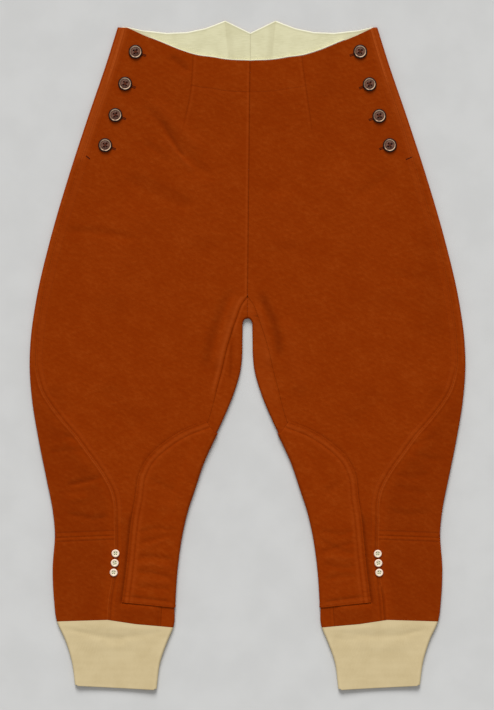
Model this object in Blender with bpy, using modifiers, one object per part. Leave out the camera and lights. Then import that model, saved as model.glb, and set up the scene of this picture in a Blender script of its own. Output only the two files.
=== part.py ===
"""Riding breeches with side buttons and knitted cuffs, laid flat with the front up.

The two layers of each leg are one flattened tube of cloth. The back panel lies on the floor,
turns round the outer and the inner edge, and meets the front panel on top, so the side seam
and the inseam both show from above. Down is measured from the peaks of the back waist towards
the cuffs, across from the middle line outwards, both in millimetres. Left and right are the
sides as seen from above.
"""

import bisect
import math

import bmesh
import bpy
import numpy as np
from mathutils import Vector

MM = 0.001
WELD = 0.02

# Whole garment
MIDDLE_DOWN = 478
SIDES = {"left": -1, "right": 1}

# Walls and gaps
CLOTH = 1.4
KNIT = 1.6
LINING = 1.0
SEAM_GAP = 0.3

# The cloth's levels above the floor, to the middle of its wall
LOWER_LEVEL = CLOTH / 2
EDGE_LEVEL = 5.5
MIDDLE_LEVEL = 3.1
WAIST_LIFT = 2.0
WAIST_LIFT_FROM = 75
WAIST_LIFT_TO = 175
EDGE_SOFTNESS = 35
FOLD_RADIUS = (EDGE_LEVEL - LOWER_LEVEL) / 2
FOLD_LEVEL = (EDGE_LEVEL + LOWER_LEVEL) / 2

# The crotch, where the four panels meet on top and an arch parts the legs
CROTCH_POINT = 395.5
ARCH_FOOT = 434
ARCH_HALF_WIDTH = 7.5
ARCH_HEIGHT = 9
TURN_HALF_WIDTH = ARCH_HALF_WIDTH + FOLD_RADIUS
TURN_HEIGHT = ARCH_HEIGHT + FOLD_RADIUS
ARCH_TOP = ARCH_FOOT - TURN_HEIGHT
WAIST_LEAN = 4.3

# Lower leg
KNEE_SEAM = 737
HEM_LEVEL = 859
HEM_FADE = 60
CUFF_FOOT_OUTER = 951.5
CUFF_FOOT_INNER = 956.4
CUFF_WIDTH = 140
WAIST_FADE = 110

# Pieces at the waist, whose sides stand where the panels do at these downs
LINING_SIDES_AT = 20
LINING_INSET = 6
LINING_BELOW_FRONT = 30
LINING_PROUD = 0.8
FACING_SIDES_AT = 50
FACING_PROUD = 1.2
FACING_DEPTH = 10
FACING_REACH = 139
STAND_WIDTH = 38
STAND_LEVELS = [1, 20, 45, 75, 110, 150, 200]

# Knee patch
PATCH_LIFT = CLOTH + SEAM_GAP
PATCH_TURN_RADIUS = FOLD_RADIUS + PATCH_LIFT / math.cos(math.pi / 8)
PATCH_TURN_ANGLES = [45, 0, -36]

# Buttons
HORN_PROFILE = [(0, 2.2), (5.4, 2.2), (7.0, 3.3), (9.2, 3.1), (10, 1.9), (8.6, 0), (0, 0)]
HORN_HOLE = {"radius": 1.1, "from_middle": 3.0}
SHIRT_PROFILE = [(0, 1.5), (2.9, 1.5), (3.7, 2.2), (5.2, 2.0), (5.7, 1.2), (5.0, 0), (0, 0)]
SHIRT_HOLE = {"radius": 0.6, "from_middle": 2.1}
HORN_SPOTS = {
    "left": [(160.3, 44), (175.2, 89.6), (189.2, 134.4), (203.8, 177.6)],
    "right": [(161.4, 43.7), (174.8, 90.4), (188.8, 135.8), (203.8, 177.6)],
}
SHIRT_SPOTS = {
    "left": [(189, 762.1), (190.1, 775.8), (191.6, 789.5)],
    "right": [(186.6, 762.6), (187.5, 776), (188.7, 789.6)],
}
BUTTON_GAP = 0.45
BUTTON_REACH = 4
HORN_STEPS = 16
SHIRT_STEPS = 12
HOLE_STEPS = 6

# Outline, as (down, across)
OUTER_EDGE = [
    (8, 185), (56, 200), (141, 229), (227, 257), (313, 282), (399, 302), (456, 310),
    (492, 311.5), (542, 308), (600, 298.5), (657, 287), (700, 278.5), (729, 275.5),
    (786, 278.5), (829, 276.5), (859, 272.5), (886, 260.5), (915, 251.5), (957, 245.5),
]
INNER_EDGE = [
    (434, 7.5), (457, 7.9), (478, 8.3), (500, 10.7), (528, 18.6), (571, 36), (600, 49.8),
    (628, 62.8), (671, 77.6), (700, 87.2), (729, 94.2), (786, 102.5), (829, 105.4),
    (867, 106.7), (886, 114.5), (915, 125), (957, 131),
]
# Seams on top, as (down, across)
SIDE_SEAM = [
    (8, 177), (56, 191), (141, 220), (227, 248), (313, 274), (399, 294), (456, 302),
    (492, 303.5), (512, 300), (530, 294.5), (548, 284), (573, 265), (592, 248.5),
    (621, 227), (641, 212.5), (657, 202.5), (674, 194.3), (686, 191.3), (719, 190),
    (754, 189.5), (790, 191.6), (829, 198), (855, 200), (870, 201),
]
INSEAM = [
    (395.5, 1.2), (406, 8.5), (422, 14.7), (440, 21), (474, 31), (501, 37), (525, 43.5),
    (548, 49), (572, 56), (600, 67), (657, 90.5), (700, 104), (729, 111), (786, 118.5),
    (829, 122), (870, 124.5),
]
# Edges that run across, as (across, down), the hem's as (across, dip below its level)
FRONT_WAIST = [
    (0, 57), (36, 55), (54, 52), (76, 49), (99, 42), (126, 31), (153, 20), (168, 13), (177, 9),
]
BACK_WAIST = [(0, 17.6), (36, 0), (50, 5.5), (65, 11), (91, 16.5), (120, 17.7), (153, 14), (176, 9)]
HEM_DIP = [(106, 9), (160, 4.6), (200.3, -1.5), (272.5, 0.5)]
# The knee patch's edge on the front, as (across, down) and how far down its row meets the inner edge
PATCH_EDGE = [
    (59.7, 572.5, 590), (91, 585, 610), (122, 605, 640), (144.6, 627, 670), (156, 650, 700),
    (161, 683, 737), (166.5, 713, 765), (169.5, 741, 795), (174, 785, 825), (180, 832.5, 839.7),
]
# Soft folds that run down from the crotch and over the thigh, each from one point to another
FOLDS = [
    {"from": (6, 392), "to": (38, 505), "width": 9, "height": 1.1},
    {"from": (22, 372), "to": (58, 500), "width": 11, "height": -1.2},
    {"from": (150, 250), "to": (205, 420), "width": 28, "height": 0.8},
    {"from": (70, 210), "to": (60, 330), "width": 26, "height": 0.6},
    {"from": (270, 560), "to": (225, 650), "width": 14, "height": 0.7},
]
FOLD_FADE = 0.3

# Where rows cross the cloth, and the shares of a panel's width where its columns stand
TONGUE_LEVELS = [CROTCH_POINT, 406]
ARCH_ANGLES = [0, 10, 35, 62]
ARCH_LEVELS = [ARCH_FOOT - TURN_HEIGHT * math.cos(math.radians(angle)) for angle in ARCH_ANGLES]
LEG_LEVELS = ARCH_LEVELS + [
    ARCH_FOOT, 455, 480, 505, 530, 555, 580, 610, 640, 670, 700, KNEE_SEAM - SEAM_GAP / 2,
]
SEAT_LEVELS = [0, 20, 45, 75, 110, 150, 190, 230, 270, 310, 350, 380]
CALF_LEVELS = [KNEE_SEAM + SEAM_GAP / 2, 765, 795, 825, HEM_LEVEL]
LOWER_OUTER_SHARES = [0, 0.5]
LOWER_INNER_SHARES = [0, 0.22, 0.44, 0.62, 0.8, 0.9, 1]
LINING_SHARES = [0, 0.14, 0.3, 0.5, 0.65, 0.8, 0.9, 1]
FRONT_SHARES = [0, 0.12, 0.3, 0.54, 0.7, 0.8, 0.87, 0.91, 0.955, 1]
FLAP_SHARES = [0, 0.5, 1]
CUFF_SHARES = [0, 0.14, 0.28, 0.434, 0.56, 0.684, 0.84, 1]
CUFF_DOWN_SHARES = [0, 0.12, 0.26, 0.45, 0.7, 1]
PATCH_SHARES = [0, 0.15, 0.3, 0.45, 0.6, 0.75, 0.88, 1]
TURN_STEPS = 4

MATERIALS = {
    "brushed_cotton": {"colour": (0.24, 0.032, 0.003, 1), "roughness": 0.95},
    "cotton_lining": {"colour": (0.70, 0.66, 0.43, 1), "roughness": 0.9},
    "knit": {"colour": (0.56, 0.45, 0.25, 1), "roughness": 0.95},
    "horn": {"colour": (0.035, 0.017, 0.012, 1), "roughness": 0.3},
    "shell_button": {"colour": (0.80, 0.72, 0.52, 1), "roughness": 0.35},
}


def smooth_curve(rows):
    """A curve through rows of (place, value), smooth at each of them and held at its ends."""
    places = [row[0] for row in rows]
    values = [row[1] for row in rows]
    slopes = np.gradient(values, places)

    def read(place):
        place = min(max(place, places[0]), places[-1])
        k = min(max(bisect.bisect_right(places, place) - 1, 0), len(places) - 2)
        step = places[k + 1] - places[k]
        t = (place - places[k]) / step
        rise = values[k + 1] - values[k]
        a = slopes[k] * step - rise
        b = rise - slopes[k + 1] * step
        return values[k] + t * rise + t * (1 - t) * ((1 - t) * a + t * b)

    return read


def straight_curve(rows):
    """A curve of straight stretches through rows of (place, value)."""
    places, values = zip(*rows)
    return lambda place: float(np.interp(place, places, values))


outer_edge = smooth_curve(OUTER_EDGE)
inner_edge = smooth_curve(INNER_EDGE)
side_seam = smooth_curve(SIDE_SEAM)
inseam = smooth_curve(INSEAM)
front_waist = smooth_curve(FRONT_WAIST)
back_waist = straight_curve(BACK_WAIST)
hem_dip = straight_curve(HEM_DIP)


def mix(a, b, share):
    return a + (b - a) * share


def ease(value):
    value = min(max(value, 0), 1)
    return value * value * (3 - 2 * value)


def point(side, across, down, level):
    """A place on the garment, in metres."""
    return Vector((side * across, MIDDLE_DOWN - down, level)) * MM


def lean(down):
    """How far the middle seam stands to the right of the middle line."""
    return WAIST_LEAN * max(0, 1 - down / CROTCH_POINT)


def middle(side, down):
    """The edge of a panel that ends at the middle seam."""
    return side * lean(down) + SEAM_GAP / 2


def outer_turn(down):
    """Where the cloth starts to turn round the outer edge."""
    return outer_edge(down) - FOLD_RADIUS


def arch_angle(down):
    return math.acos(min(max((ARCH_FOOT - down) / TURN_HEIGHT, -1), 1))


def inner_turn(side, down):
    """Where the cloth starts to turn round the arch or the inner edge, or the middle seam above them."""
    if down <= ARCH_TOP:
        return middle(side, down)
    if down < ARCH_FOOT:
        return max(middle(side, down), TURN_HALF_WIDTH * math.sin(arch_angle(down)))
    return inner_edge(down) + FOLD_RADIUS


def turn_way(down):
    """The way out of the cloth at the inner turn, as (across, down)."""
    if down >= ARCH_FOOT:
        return -1, 0
    angle = arch_angle(down)
    return -math.sin(angle), math.cos(angle)


def fold_rise(across, down):
    """What the soft folds add to the level of the upper cloth."""
    rise = 0
    for fold in FOLDS:
        start, end = Vector(fold["from"]), Vector(fold["to"])
        run = end - start
        here = Vector((across, down)) - start
        along = here.dot(run) / run.length_squared
        beside = abs(here.cross(run)) / run.length
        fade = ease(along / FOLD_FADE) * ease((1 - along) / FOLD_FADE)
        rise += fold["height"] * fade * math.exp(-((beside / fold["width"]) ** 2))
    return rise


def level_at(across, down):
    """The level of the upper cloth: high at the rounded edges and over the waist's inner layers."""
    lift = ease((WAIST_LIFT_TO - down) / (WAIST_LIFT_TO - WAIST_LIFT_FROM))
    base = MIDDLE_LEVEL + WAIST_LIFT * lift
    from_outer = outer_turn(down) - across
    if down < ARCH_FOOT:
        stretch = TURN_HEIGHT / TURN_HALF_WIDTH
        from_inner = math.hypot(across * stretch, ARCH_FOOT - down) - TURN_HEIGHT
    else:
        from_inner = across - inner_edge(down) - FOLD_RADIUS
    near_outer = math.exp(-max(from_outer, 0) / EDGE_SOFTNESS)
    near_inner = math.exp(-max(from_inner, 0) / EDGE_SOFTNESS)
    rim = 1 - (1 - near_outer) * (1 - near_inner)
    return base + (EDGE_LEVEL - base) * rim + fold_rise(across, down) * (1 - rim)


def row_down(side, level, across, waist):
    """Where the row at this level crosses the cloth: rows follow the curved waist and hem near them."""
    near_waist = max(0, 1 - level / WAIST_FADE)
    near_hem = max(0, 1 - (HEM_LEVEL - level) / HEM_FADE)
    return level + waist(across - side * lean(level)) * near_waist + hem_dip(across) * near_hem


def panel_column(side, level, waist, start, end, share):
    """The (across, down) of a column that stands between two edges, each a function of down."""
    across = mix(start(level), end(level), share)
    down = row_down(side, level, across, waist)
    return mix(start(down), end(down), share), down


def upper_row(side, level, waist, start, end, shares):
    """A row of points on the upper cloth."""
    places = [panel_column(side, level, waist, start, end, share) for share in shares]
    return [point(side, across, down, level_at(across, down)) for across, down in places]


def outer_row(side, level):
    """A row of the back panel or the calf, from the side seam round the outer edge to its inner end."""
    seam = lambda down: side_seam(down) + SEAM_GAP / 2
    inside = lambda down: inner_turn(side, down)
    flap = upper_row(side, level, back_waist, seam, outer_turn, FLAP_SHARES)
    down = row_down(side, level, outer_edge(level), back_waist)
    turn = []
    for k in range(1, TURN_STEPS):
        angle = math.pi * k / TURN_STEPS
        across = outer_turn(down) + FOLD_RADIUS * math.sin(angle)
        turn.append(point(side, across, down, FOLD_LEVEL + FOLD_RADIUS * math.cos(angle)))
    runs = [(outer_turn, side_seam, LOWER_OUTER_SHARES), (side_seam, inside, LOWER_INNER_SHARES)]
    lower = []
    for start, end, shares in runs:
        for share in shares:
            place = panel_column(side, level, back_waist, start, end, share)
            lower.append(point(side, *place, LOWER_LEVEL))
    return flap + turn + lower


def inner_row(side, level):
    """A row of the back panel or the calf, from the inner turn below, round it and on to the inseam."""
    inside = lambda down: inner_turn(side, down)
    seam = lambda down: inseam(down) - SEAM_GAP / 2
    across, down = panel_column(side, level, back_waist, inside, inside, 0)
    way_across, way_down = turn_way(down)
    turn = []
    for k in range(TURN_STEPS):
        angle = math.pi * k / TURN_STEPS
        out = FOLD_RADIUS * math.sin(angle)
        level_here = FOLD_LEVEL - FOLD_RADIUS * math.cos(angle)
        turn.append(point(side, across + way_across * out, down + way_down * out, level_here))
    return turn + upper_row(side, level, back_waist, inside, seam, FLAP_SHARES)


def tongue_row(side, level):
    """A row of the back panel's tip on top, above the arch."""
    inside = lambda down: inner_turn(side, down)
    seam = lambda down: inseam(down) - SEAM_GAP / 2
    return upper_row(side, level, back_waist, inside, seam, FLAP_SHARES)


def front_row(side, level):
    """A row of the front panel, from the side seam to the middle seam or the inseam."""
    seam = lambda down: side_seam(down) - SEAM_GAP / 2

    def inside(down):
        return middle(side, down) if down < CROTCH_POINT else inseam(down) + SEAM_GAP / 2

    return upper_row(side, level, front_waist, seam, inside, FRONT_SHARES)


def lay_grid(bm, rows):
    """Adds a grid of faces whose points lie on the given rows."""
    columns, lines = len(rows[0]) - 1, len(rows) - 1
    made = bmesh.ops.create_grid(bm, x_segments=columns, y_segments=lines, size=0.5)
    for vertex in made["verts"]:
        i = round((vertex.co.x + 0.5) * columns)
        j = round((vertex.co.y + 0.5) * lines)
        vertex.co = rows[j][i]


def add_object(name, mesh, material, collection):
    made = bpy.data.objects.new(name, mesh)
    collection.objects.link(made)
    mesh.materials.clear()
    mesh.materials.append(bpy.data.materials[material])
    return made


def add_cloth(name, grids, thickness, material, collection):
    """A wall of cloth on the middle surface that the grids make together."""
    bm = bmesh.new()
    for rows in grids:
        lay_grid(bm, rows)
    bmesh.ops.remove_doubles(bm, verts=bm.verts, dist=WELD * MM)
    bmesh.ops.recalc_face_normals(bm, faces=bm.faces)
    mesh = bpy.data.meshes.new(name)
    bm.to_mesh(mesh)
    bm.free()
    mesh.shade_smooth()
    made = add_object(name, mesh, material, collection)
    wall = made.modifiers.new("wall", "SOLIDIFY")
    wall.thickness = thickness * MM
    wall.offset = 0
    wall.use_even_offset = True
    return made


def make_back(name, side, collection):
    body = [outer_row(side, level) for level in SEAT_LEVELS + TONGUE_LEVELS + LEG_LEVELS]
    inner = [inner_row(side, level) for level in LEG_LEVELS]
    tongue = [tongue_row(side, level) for level in TONGUE_LEVELS + LEG_LEVELS[:1]]
    add_cloth(f"back_{name}", [body, inner, tongue], CLOTH, "brushed_cotton", collection)


def make_front(name, side, collection):
    levels = SEAT_LEVELS + TONGUE_LEVELS + LEG_LEVELS + CALF_LEVELS[1:]
    rows = [front_row(side, level) for level in levels]
    add_cloth(f"front_{name}", [rows], CLOTH, "brushed_cotton", collection)


def make_calf(name, side, collection):
    body = [outer_row(side, level) for level in CALF_LEVELS]
    inner = [inner_row(side, level) for level in CALF_LEVELS]
    add_cloth(f"calf_{name}", [body, inner], CLOTH, "brushed_cotton", collection)


def make_knee_patch(name, side, collection):
    """The reinforcement over the inner knee, laid on the front and turned round the inner edge."""
    rows = []
    for edge_across, edge_down, down_inside in PATCH_EDGE:
        turn = inner_turn(side, down_inside)
        row = []
        for share in PATCH_SHARES:
            across = mix(edge_across, turn, share)
            down = mix(edge_down, down_inside, share)
            row.append(point(side, across, down, level_at(across, down) + PATCH_LIFT))
        for degrees in PATCH_TURN_ANGLES:
            angle = math.radians(degrees)
            across = turn - PATCH_TURN_RADIUS * math.cos(angle)
            level = FOLD_LEVEL + PATCH_TURN_RADIUS * math.sin(angle)
            row.append(point(side, across, down_inside, level))
        rows.append(row)
    add_cloth(f"knee_patch_{name}", [rows], CLOTH, "brushed_cotton", collection)


def make_lining(name, side, collection):
    """Half of the pale lining that shows inside the back, from its peaks to below the front's edge."""
    rows = []
    for share_down in (0, 0.5, 1):
        row = []
        for share in LINING_SHARES:
            outside = outer_turn(LINING_SIDES_AT) - LINING_INSET
            across = mix(outside, middle(side, LINING_SIDES_AT), share)
            from_middle = across - side * lean(LINING_SIDES_AT)
            top = back_waist(from_middle) - LINING_PROUD
            foot = front_waist(from_middle) + LINING_BELOW_FRONT
            level = CLOTH + SEAM_GAP + LINING / 2
            row.append(point(side, across, mix(top, foot, share_down), level))
        rows.append(row)
    add_cloth(f"lining_{name}", [rows], LINING, "cotton_lining", collection)


def make_facing(name, side, collection):
    """The pale facing behind the front's top edge, which shows as a thin line."""
    rows = []
    for drop in (-FACING_PROUD, FACING_DEPTH):
        row = []
        for share in FRONT_SHARES:
            across = mix(FACING_REACH, middle(side, FACING_SIDES_AT), share)
            down = front_waist(across - side * lean(FACING_SIDES_AT)) + drop
            level = level_at(across, down) - CLOTH / 2 - SEAM_GAP - LINING / 2
            row.append(point(side, across, down, level))
        rows.append(row)
    add_cloth(f"facing_{name}", [rows], LINING, "cotton_lining", collection)


def make_button_stand(name, side, collection):
    """The strip under the front's side edge that carries the horn buttons."""
    rows = []
    for level in STAND_LEVELS:
        row = []
        for inset in (STAND_WIDTH, STAND_WIDTH / 2, SEAM_GAP):
            across = side_seam(level) - inset
            down = row_down(side, level, across, front_waist)
            across = side_seam(down) - inset
            height = level_at(across, down) - CLOTH / 2 - SEAM_GAP - LINING / 2
            row.append(point(side, across, down, height))
        rows.append(row)
    add_cloth(f"button_stand_{name}", [rows], LINING, "brushed_cotton", collection)


def cuff_place(side, share_across, share_down, out, height):
    """A place on the cuff: out is how far beyond its turning line the point lies."""
    turn = outer_turn(HEM_LEVEL), inner_edge(HEM_LEVEL) + FOLD_RADIUS
    across = mix(*turn, share_across)
    top = HEM_LEVEL + hem_dip(across) + SEAM_GAP
    down = mix(top, mix(CUFF_FOOT_OUTER, CUFF_FOOT_INNER, share_across), share_down)
    across = mix(outer_turn(down), inner_edge(down) + FOLD_RADIUS, share_across)
    return point(side, across + out, down, height)


def make_cuff(name, side, collection):
    """The knitted tube below the hem, flattened like the leg."""
    lower = KNIT / 2
    radius = FOLD_LEVEL - lower
    angles = [math.pi * k / TURN_STEPS for k in range(1, TURN_STEPS)]
    rows = []
    for share_down in CUFF_DOWN_SHARES:
        above = []
        for share in CUFF_SHARES:
            from_edge = min(share, 1 - share) * CUFF_WIDTH
            rim = math.exp(-from_edge / EDGE_SOFTNESS)
            height = mix(MIDDLE_LEVEL + KNIT - CLOTH, FOLD_LEVEL + radius, rim)
            above.append(cuff_place(side, share, share_down, 0, height))
        below = [cuff_place(side, share, share_down, 0, lower) for share in reversed(CUFF_SHARES)]
        inner, outer = [], []
        for a in angles:
            out, rise = radius * math.sin(a), radius * math.cos(a)
            inner.append(cuff_place(side, 1, share_down, -out, FOLD_LEVEL + rise))
            outer.append(cuff_place(side, 0, share_down, out, FOLD_LEVEL - rise))
        rows.append(above + inner + below + outer + above[:1])
    add_cloth(f"cuff_{name}", [rows], KNIT, "knit", collection)


def button_mesh(name, profile, hole, steps, cutters):
    """A turned button with four sewing holes."""
    rim = bpy.data.meshes.new(f"{name}_profile")
    points = [(across * MM, 0, level * MM) for across, level in profile]
    rim.from_pydata(points, [(k, k + 1) for k in range(len(points) - 1)], [])
    turned = bpy.data.objects.new(name, rim)
    cutters.objects.link(turned)
    screw = turned.modifiers.new("turn", "SCREW")
    screw.steps = screw.render_steps = steps
    screw.use_merge_vertices = True
    screw.merge_threshold = WELD * MM
    bm = bmesh.new()
    for k in range(4):
        angle = math.pi * (k / 2 + 0.25)
        made = bmesh.ops.create_cone(
            bm, cap_ends=True, segments=HOLE_STEPS, radius1=hole["radius"] * MM,
            radius2=hole["radius"] * MM, depth=4 * profile[0][1] * MM,
        )
        away = Vector((math.cos(angle), math.sin(angle), 0)) * hole["from_middle"] * MM
        bmesh.ops.translate(bm, verts=made["verts"], vec=away)
    drill_mesh = bpy.data.meshes.new(f"{name}_drill")
    bm.to_mesh(drill_mesh)
    bm.free()
    drill = bpy.data.objects.new(f"{name}_drill", drill_mesh)
    drill.hide_render = True
    drill.display_type = "WIRE"
    cutters.objects.link(drill)
    cut = turned.modifiers.new("holes", "BOOLEAN")
    cut.operation = "DIFFERENCE"
    cut.object = drill
    shown = turned.evaluated_get(bpy.context.evaluated_depsgraph_get())
    mesh = bpy.data.meshes.new_from_object(shown)
    bpy.data.objects.remove(turned)
    mesh.shade_smooth()
    mesh.set_sharp_from_angle(angle=math.radians(40))
    return mesh


def place_button(name, mesh, side, across, down, material, collection):
    """Lays a button on the upper cloth, tilted as the cloth is there."""

    def seat_at(add_across, add_down):
        here = across + add_across, down + add_down
        return point(side, *here, level_at(*here))

    run_across = seat_at(BUTTON_REACH, 0) - seat_at(-BUTTON_REACH, 0)
    run_down = seat_at(0, BUTTON_REACH) - seat_at(0, -BUTTON_REACH)
    normal = run_across.cross(run_down).normalized()
    if normal.z < 0:
        normal = -normal
    made = add_object(name, mesh, material, collection)
    made.rotation_mode = "QUATERNION"
    made.rotation_quaternion = normal.to_track_quat("Z", "Y")
    made.location = seat_at(0, 0) + normal * (CLOTH / 2 + BUTTON_GAP) * MM


def make_buttons(collection, cutters):
    horn = button_mesh("horn_button", HORN_PROFILE, HORN_HOLE, HORN_STEPS, cutters)
    shirt = button_mesh("shirt_button", SHIRT_PROFILE, SHIRT_HOLE, SHIRT_STEPS, cutters)
    rows = [
        ("horn_button", horn, HORN_SPOTS, "horn"),
        ("cuff_button", shirt, SHIRT_SPOTS, "shell_button"),
    ]
    for word, mesh, spots, material in rows:
        for name, side in SIDES.items():
            for k, (across, down) in enumerate(spots[name]):
                label = f"{word}_{name}_{k + 1}"
                place_button(label, mesh, side, across, down, material, collection)


def make_materials():
    for name, look in MATERIALS.items():
        material = bpy.data.materials.new(name)
        material.use_nodes = True
        shader = material.node_tree.nodes["Principled BSDF"]
        shader.inputs["Base Color"].default_value = look["colour"]
        shader.inputs["Roughness"].default_value = look["roughness"]
        shader.inputs["Metallic"].default_value = 0


def main():
    for old in list(bpy.data.objects):
        bpy.data.objects.remove(old)
    garment = bpy.data.collections.new("riding_breeches")
    cutters = bpy.data.collections.new("cutters")
    bpy.context.scene.collection.children.link(garment)
    bpy.context.scene.collection.children.link(cutters)
    make_materials()
    for name, side in SIDES.items():
        make_back(name, side, garment)
        make_lining(name, side, garment)
        make_button_stand(name, side, garment)
        make_facing(name, side, garment)
        make_front(name, side, garment)
        make_calf(name, side, garment)
        make_knee_patch(name, side, garment)
        make_cuff(name, side, garment)
    make_buttons(garment, cutters)


main()
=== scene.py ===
# %% [markdown]
# These riding breeches lie flat with their front up, so what looks like one surface is two layers
# of cloth, long curved seams and a good deal of sewing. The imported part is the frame: its solids
# say where each panel is. A cloth or a button made below stands for one of them, and stitches are
# added to it.

# %% Load the frame
import math

import bmesh
import bpy
import numpy as np
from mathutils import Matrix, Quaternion, Vector


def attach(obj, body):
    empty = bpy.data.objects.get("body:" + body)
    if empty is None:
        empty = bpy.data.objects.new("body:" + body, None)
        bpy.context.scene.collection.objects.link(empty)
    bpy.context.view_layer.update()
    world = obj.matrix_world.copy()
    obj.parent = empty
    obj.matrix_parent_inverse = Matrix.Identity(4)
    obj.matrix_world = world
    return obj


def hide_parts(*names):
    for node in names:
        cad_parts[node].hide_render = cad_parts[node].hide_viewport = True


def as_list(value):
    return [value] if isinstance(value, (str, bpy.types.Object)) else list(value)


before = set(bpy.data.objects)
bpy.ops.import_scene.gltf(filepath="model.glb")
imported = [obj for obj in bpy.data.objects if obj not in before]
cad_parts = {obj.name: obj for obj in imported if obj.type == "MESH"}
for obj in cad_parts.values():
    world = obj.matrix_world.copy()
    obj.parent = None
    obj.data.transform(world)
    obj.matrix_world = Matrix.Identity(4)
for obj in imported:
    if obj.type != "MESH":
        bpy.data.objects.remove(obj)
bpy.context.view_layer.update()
MM = 0.001
SIDES = {"left": -1, "right": 1}

# %% [markdown]
# The garment is drawn as a tailor would draft it: by how far each line stands from the middle of
# the body at each height. Down is measured from the peaks of the back waist, across from the
# middle line outwards, both in millimetres. A smooth curve through a few rows gives each line.
# Below the hip the right leg's side seam is laid a little nearer the middle than the left one's.

# %% Draw the outline and the seams
MIDDLE_DOWN = 478
OUTER_EDGE = [
    (8, 185), (56, 200), (141, 229), (227, 257), (313, 282), (399, 302), (456, 310),
    (492, 311.5), (542, 308), (600, 298.5), (657, 287), (700, 278.5), (729, 275.5),
    (786, 278.5), (829, 276.5), (859, 272.5), (886, 260.5), (915, 251.5), (957, 245.5),
]
INNER_EDGE = [
    (434, 7.5), (457, 7.9), (478, 8.3), (500, 10.7), (528, 18.6), (571, 36), (600, 49.8),
    (628, 62.8), (671, 77.6), (700, 87.2), (729, 94.2), (786, 102.5), (829, 105.4),
    (867, 106.7), (886, 114.5), (915, 125), (957, 131),
]
SIDE_SEAM = [
    (8, 177), (56, 191), (141, 220), (227, 248), (313, 274), (399, 294), (456, 302),
    (492, 303.5), (512, 300), (530, 294.5), (548, 284), (573, 265), (592, 248.5),
    (621, 227), (641, 212.5), (657, 202.5), (674, 194.3), (686, 191.3), (719, 190),
    (754, 189.5), (790, 191.6), (829, 198), (855, 200), (870, 201),
]
RIGHT_SEAM_SHIFT = [
    (150, 0), (230, 1.5), (456, 2.2), (530, 3.8), (590, 4.6), (650, 4.2), (690, 3), (725, 2.6),
    (800, 3.2), (830, 4),
]
INSEAM = [
    (395.5, 1.2), (406, 8.5), (422, 14.7), (440, 21), (474, 31), (501, 37), (525, 43.5),
    (548, 49), (572, 56), (600, 67), (657, 90.5), (700, 104), (729, 111), (786, 118.5),
    (829, 122), (870, 124.5),
]
FRONT_WAIST = [
    (0, 57), (36, 55), (54, 52), (76, 49), (99, 42), (126, 31), (153, 20), (168, 13), (177, 9),
]
BACK_WAIST = [(0, 17.6), (36, 0), (50, 5.5), (65, 11), (91, 16.5), (120, 17.7), (153, 14), (176, 9)]
HEM_DIP = [(106, 9), (160, 4.6), (200.3, -1.5), (272.5, 0.5)]


def smooth_curve(rows):
    """A curve through rows of (place, value), smooth at each of them and held at its ends."""
    places, values = np.array(rows, float).T
    slopes = np.gradient(values, places)

    def read(place):
        place = np.clip(place, places[0], places[-1])
        k = np.clip(np.searchsorted(places, place, side="right") - 1, 0, len(places) - 2)
        step = places[k + 1] - places[k]
        t = (place - places[k]) / step
        rise = values[k + 1] - values[k]
        a = slopes[k] * step - rise
        b = rise - slopes[k + 1] * step
        return values[k] + t * rise + t * (1 - t) * ((1 - t) * a + t * b)

    return read


def straight_curve(rows):
    """A curve of straight stretches through rows of (place, value)."""
    places, values = np.array(rows, float).T
    return lambda place: np.interp(place, places, values)


outer_edge = smooth_curve(OUTER_EDGE)
inner_edge = smooth_curve(INNER_EDGE)
right_shift = straight_curve(RIGHT_SEAM_SHIFT)
side_seam = {
    "left": smooth_curve(SIDE_SEAM),
    "right": smooth_curve([(down, across - right_shift(down)) for down, across in SIDE_SEAM]),
}
inseam = smooth_curve(INSEAM)
front_waist = smooth_curve(FRONT_WAIST)
back_waist = straight_curve(BACK_WAIST)
hem_dip = straight_curve(HEM_DIP)
print("hip:", round(float(2 * outer_edge(492))), "mm across at its widest")

# %% [markdown]
# A leg is one flattened tube. Its lower layer is flat on the table, and the upper one stands high
# along the rounded edges, low in the middle of the leg, and higher again over the layers at the
# waist. The same rules as in the frame give that level, so each shell has the form of its solid.

# %% Lay the cloth's levels
CLOTH = 1.4
KNIT = 1.6
LINING = 1.0
SEAM_GAP = 0.12
LAYER_GAP = 0.3
LOWER_LEVEL = CLOTH / 2
EDGE_LEVEL = 5.5
MIDDLE_LEVEL = 3.1
WAIST_LIFT = 2.0
WAIST_LIFT_FROM = 75
WAIST_LIFT_TO = 175
EDGE_SOFTNESS = 35
FOLD_RADIUS = (EDGE_LEVEL - LOWER_LEVEL) / 2
FOLD_LEVEL = (EDGE_LEVEL + LOWER_LEVEL) / 2
CROTCH_POINT = 395.5
ARCH_FOOT = 434
ARCH_HALF_WIDTH = 7.5
ARCH_HEIGHT = 9
TURN_HALF_WIDTH = ARCH_HALF_WIDTH + FOLD_RADIUS
TURN_HEIGHT = ARCH_HEIGHT + FOLD_RADIUS
ARCH_TOP = ARCH_FOOT - TURN_HEIGHT
WAIST_LEAN = 4.3
KNEE_SEAM = 737
HEM_LEVEL = 859


def mix(a, b, share):
    return a + (b - a) * share


def ease(value):
    value = np.clip(value, 0, 1)
    return value * value * (3 - 2 * value)


def near(value, place, width):
    """One at a place, fading to nothing over a width on both sides of it."""
    return np.exp(-(((value - place) / width) ** 2))


def lean(down):
    """How far the middle seam stands to the right of the middle line."""
    return WAIST_LEAN * np.maximum(0, 1 - down / CROTCH_POINT)


def middle(side, down):
    return side * lean(down) + SEAM_GAP / 2


def outer_turn(down):
    """Where the cloth starts to turn round the outer edge."""
    return outer_edge(down) - FOLD_RADIUS


def arch_angle(down):
    return np.arccos(np.clip((ARCH_FOOT - down) / TURN_HEIGHT, 0, 1))


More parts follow.
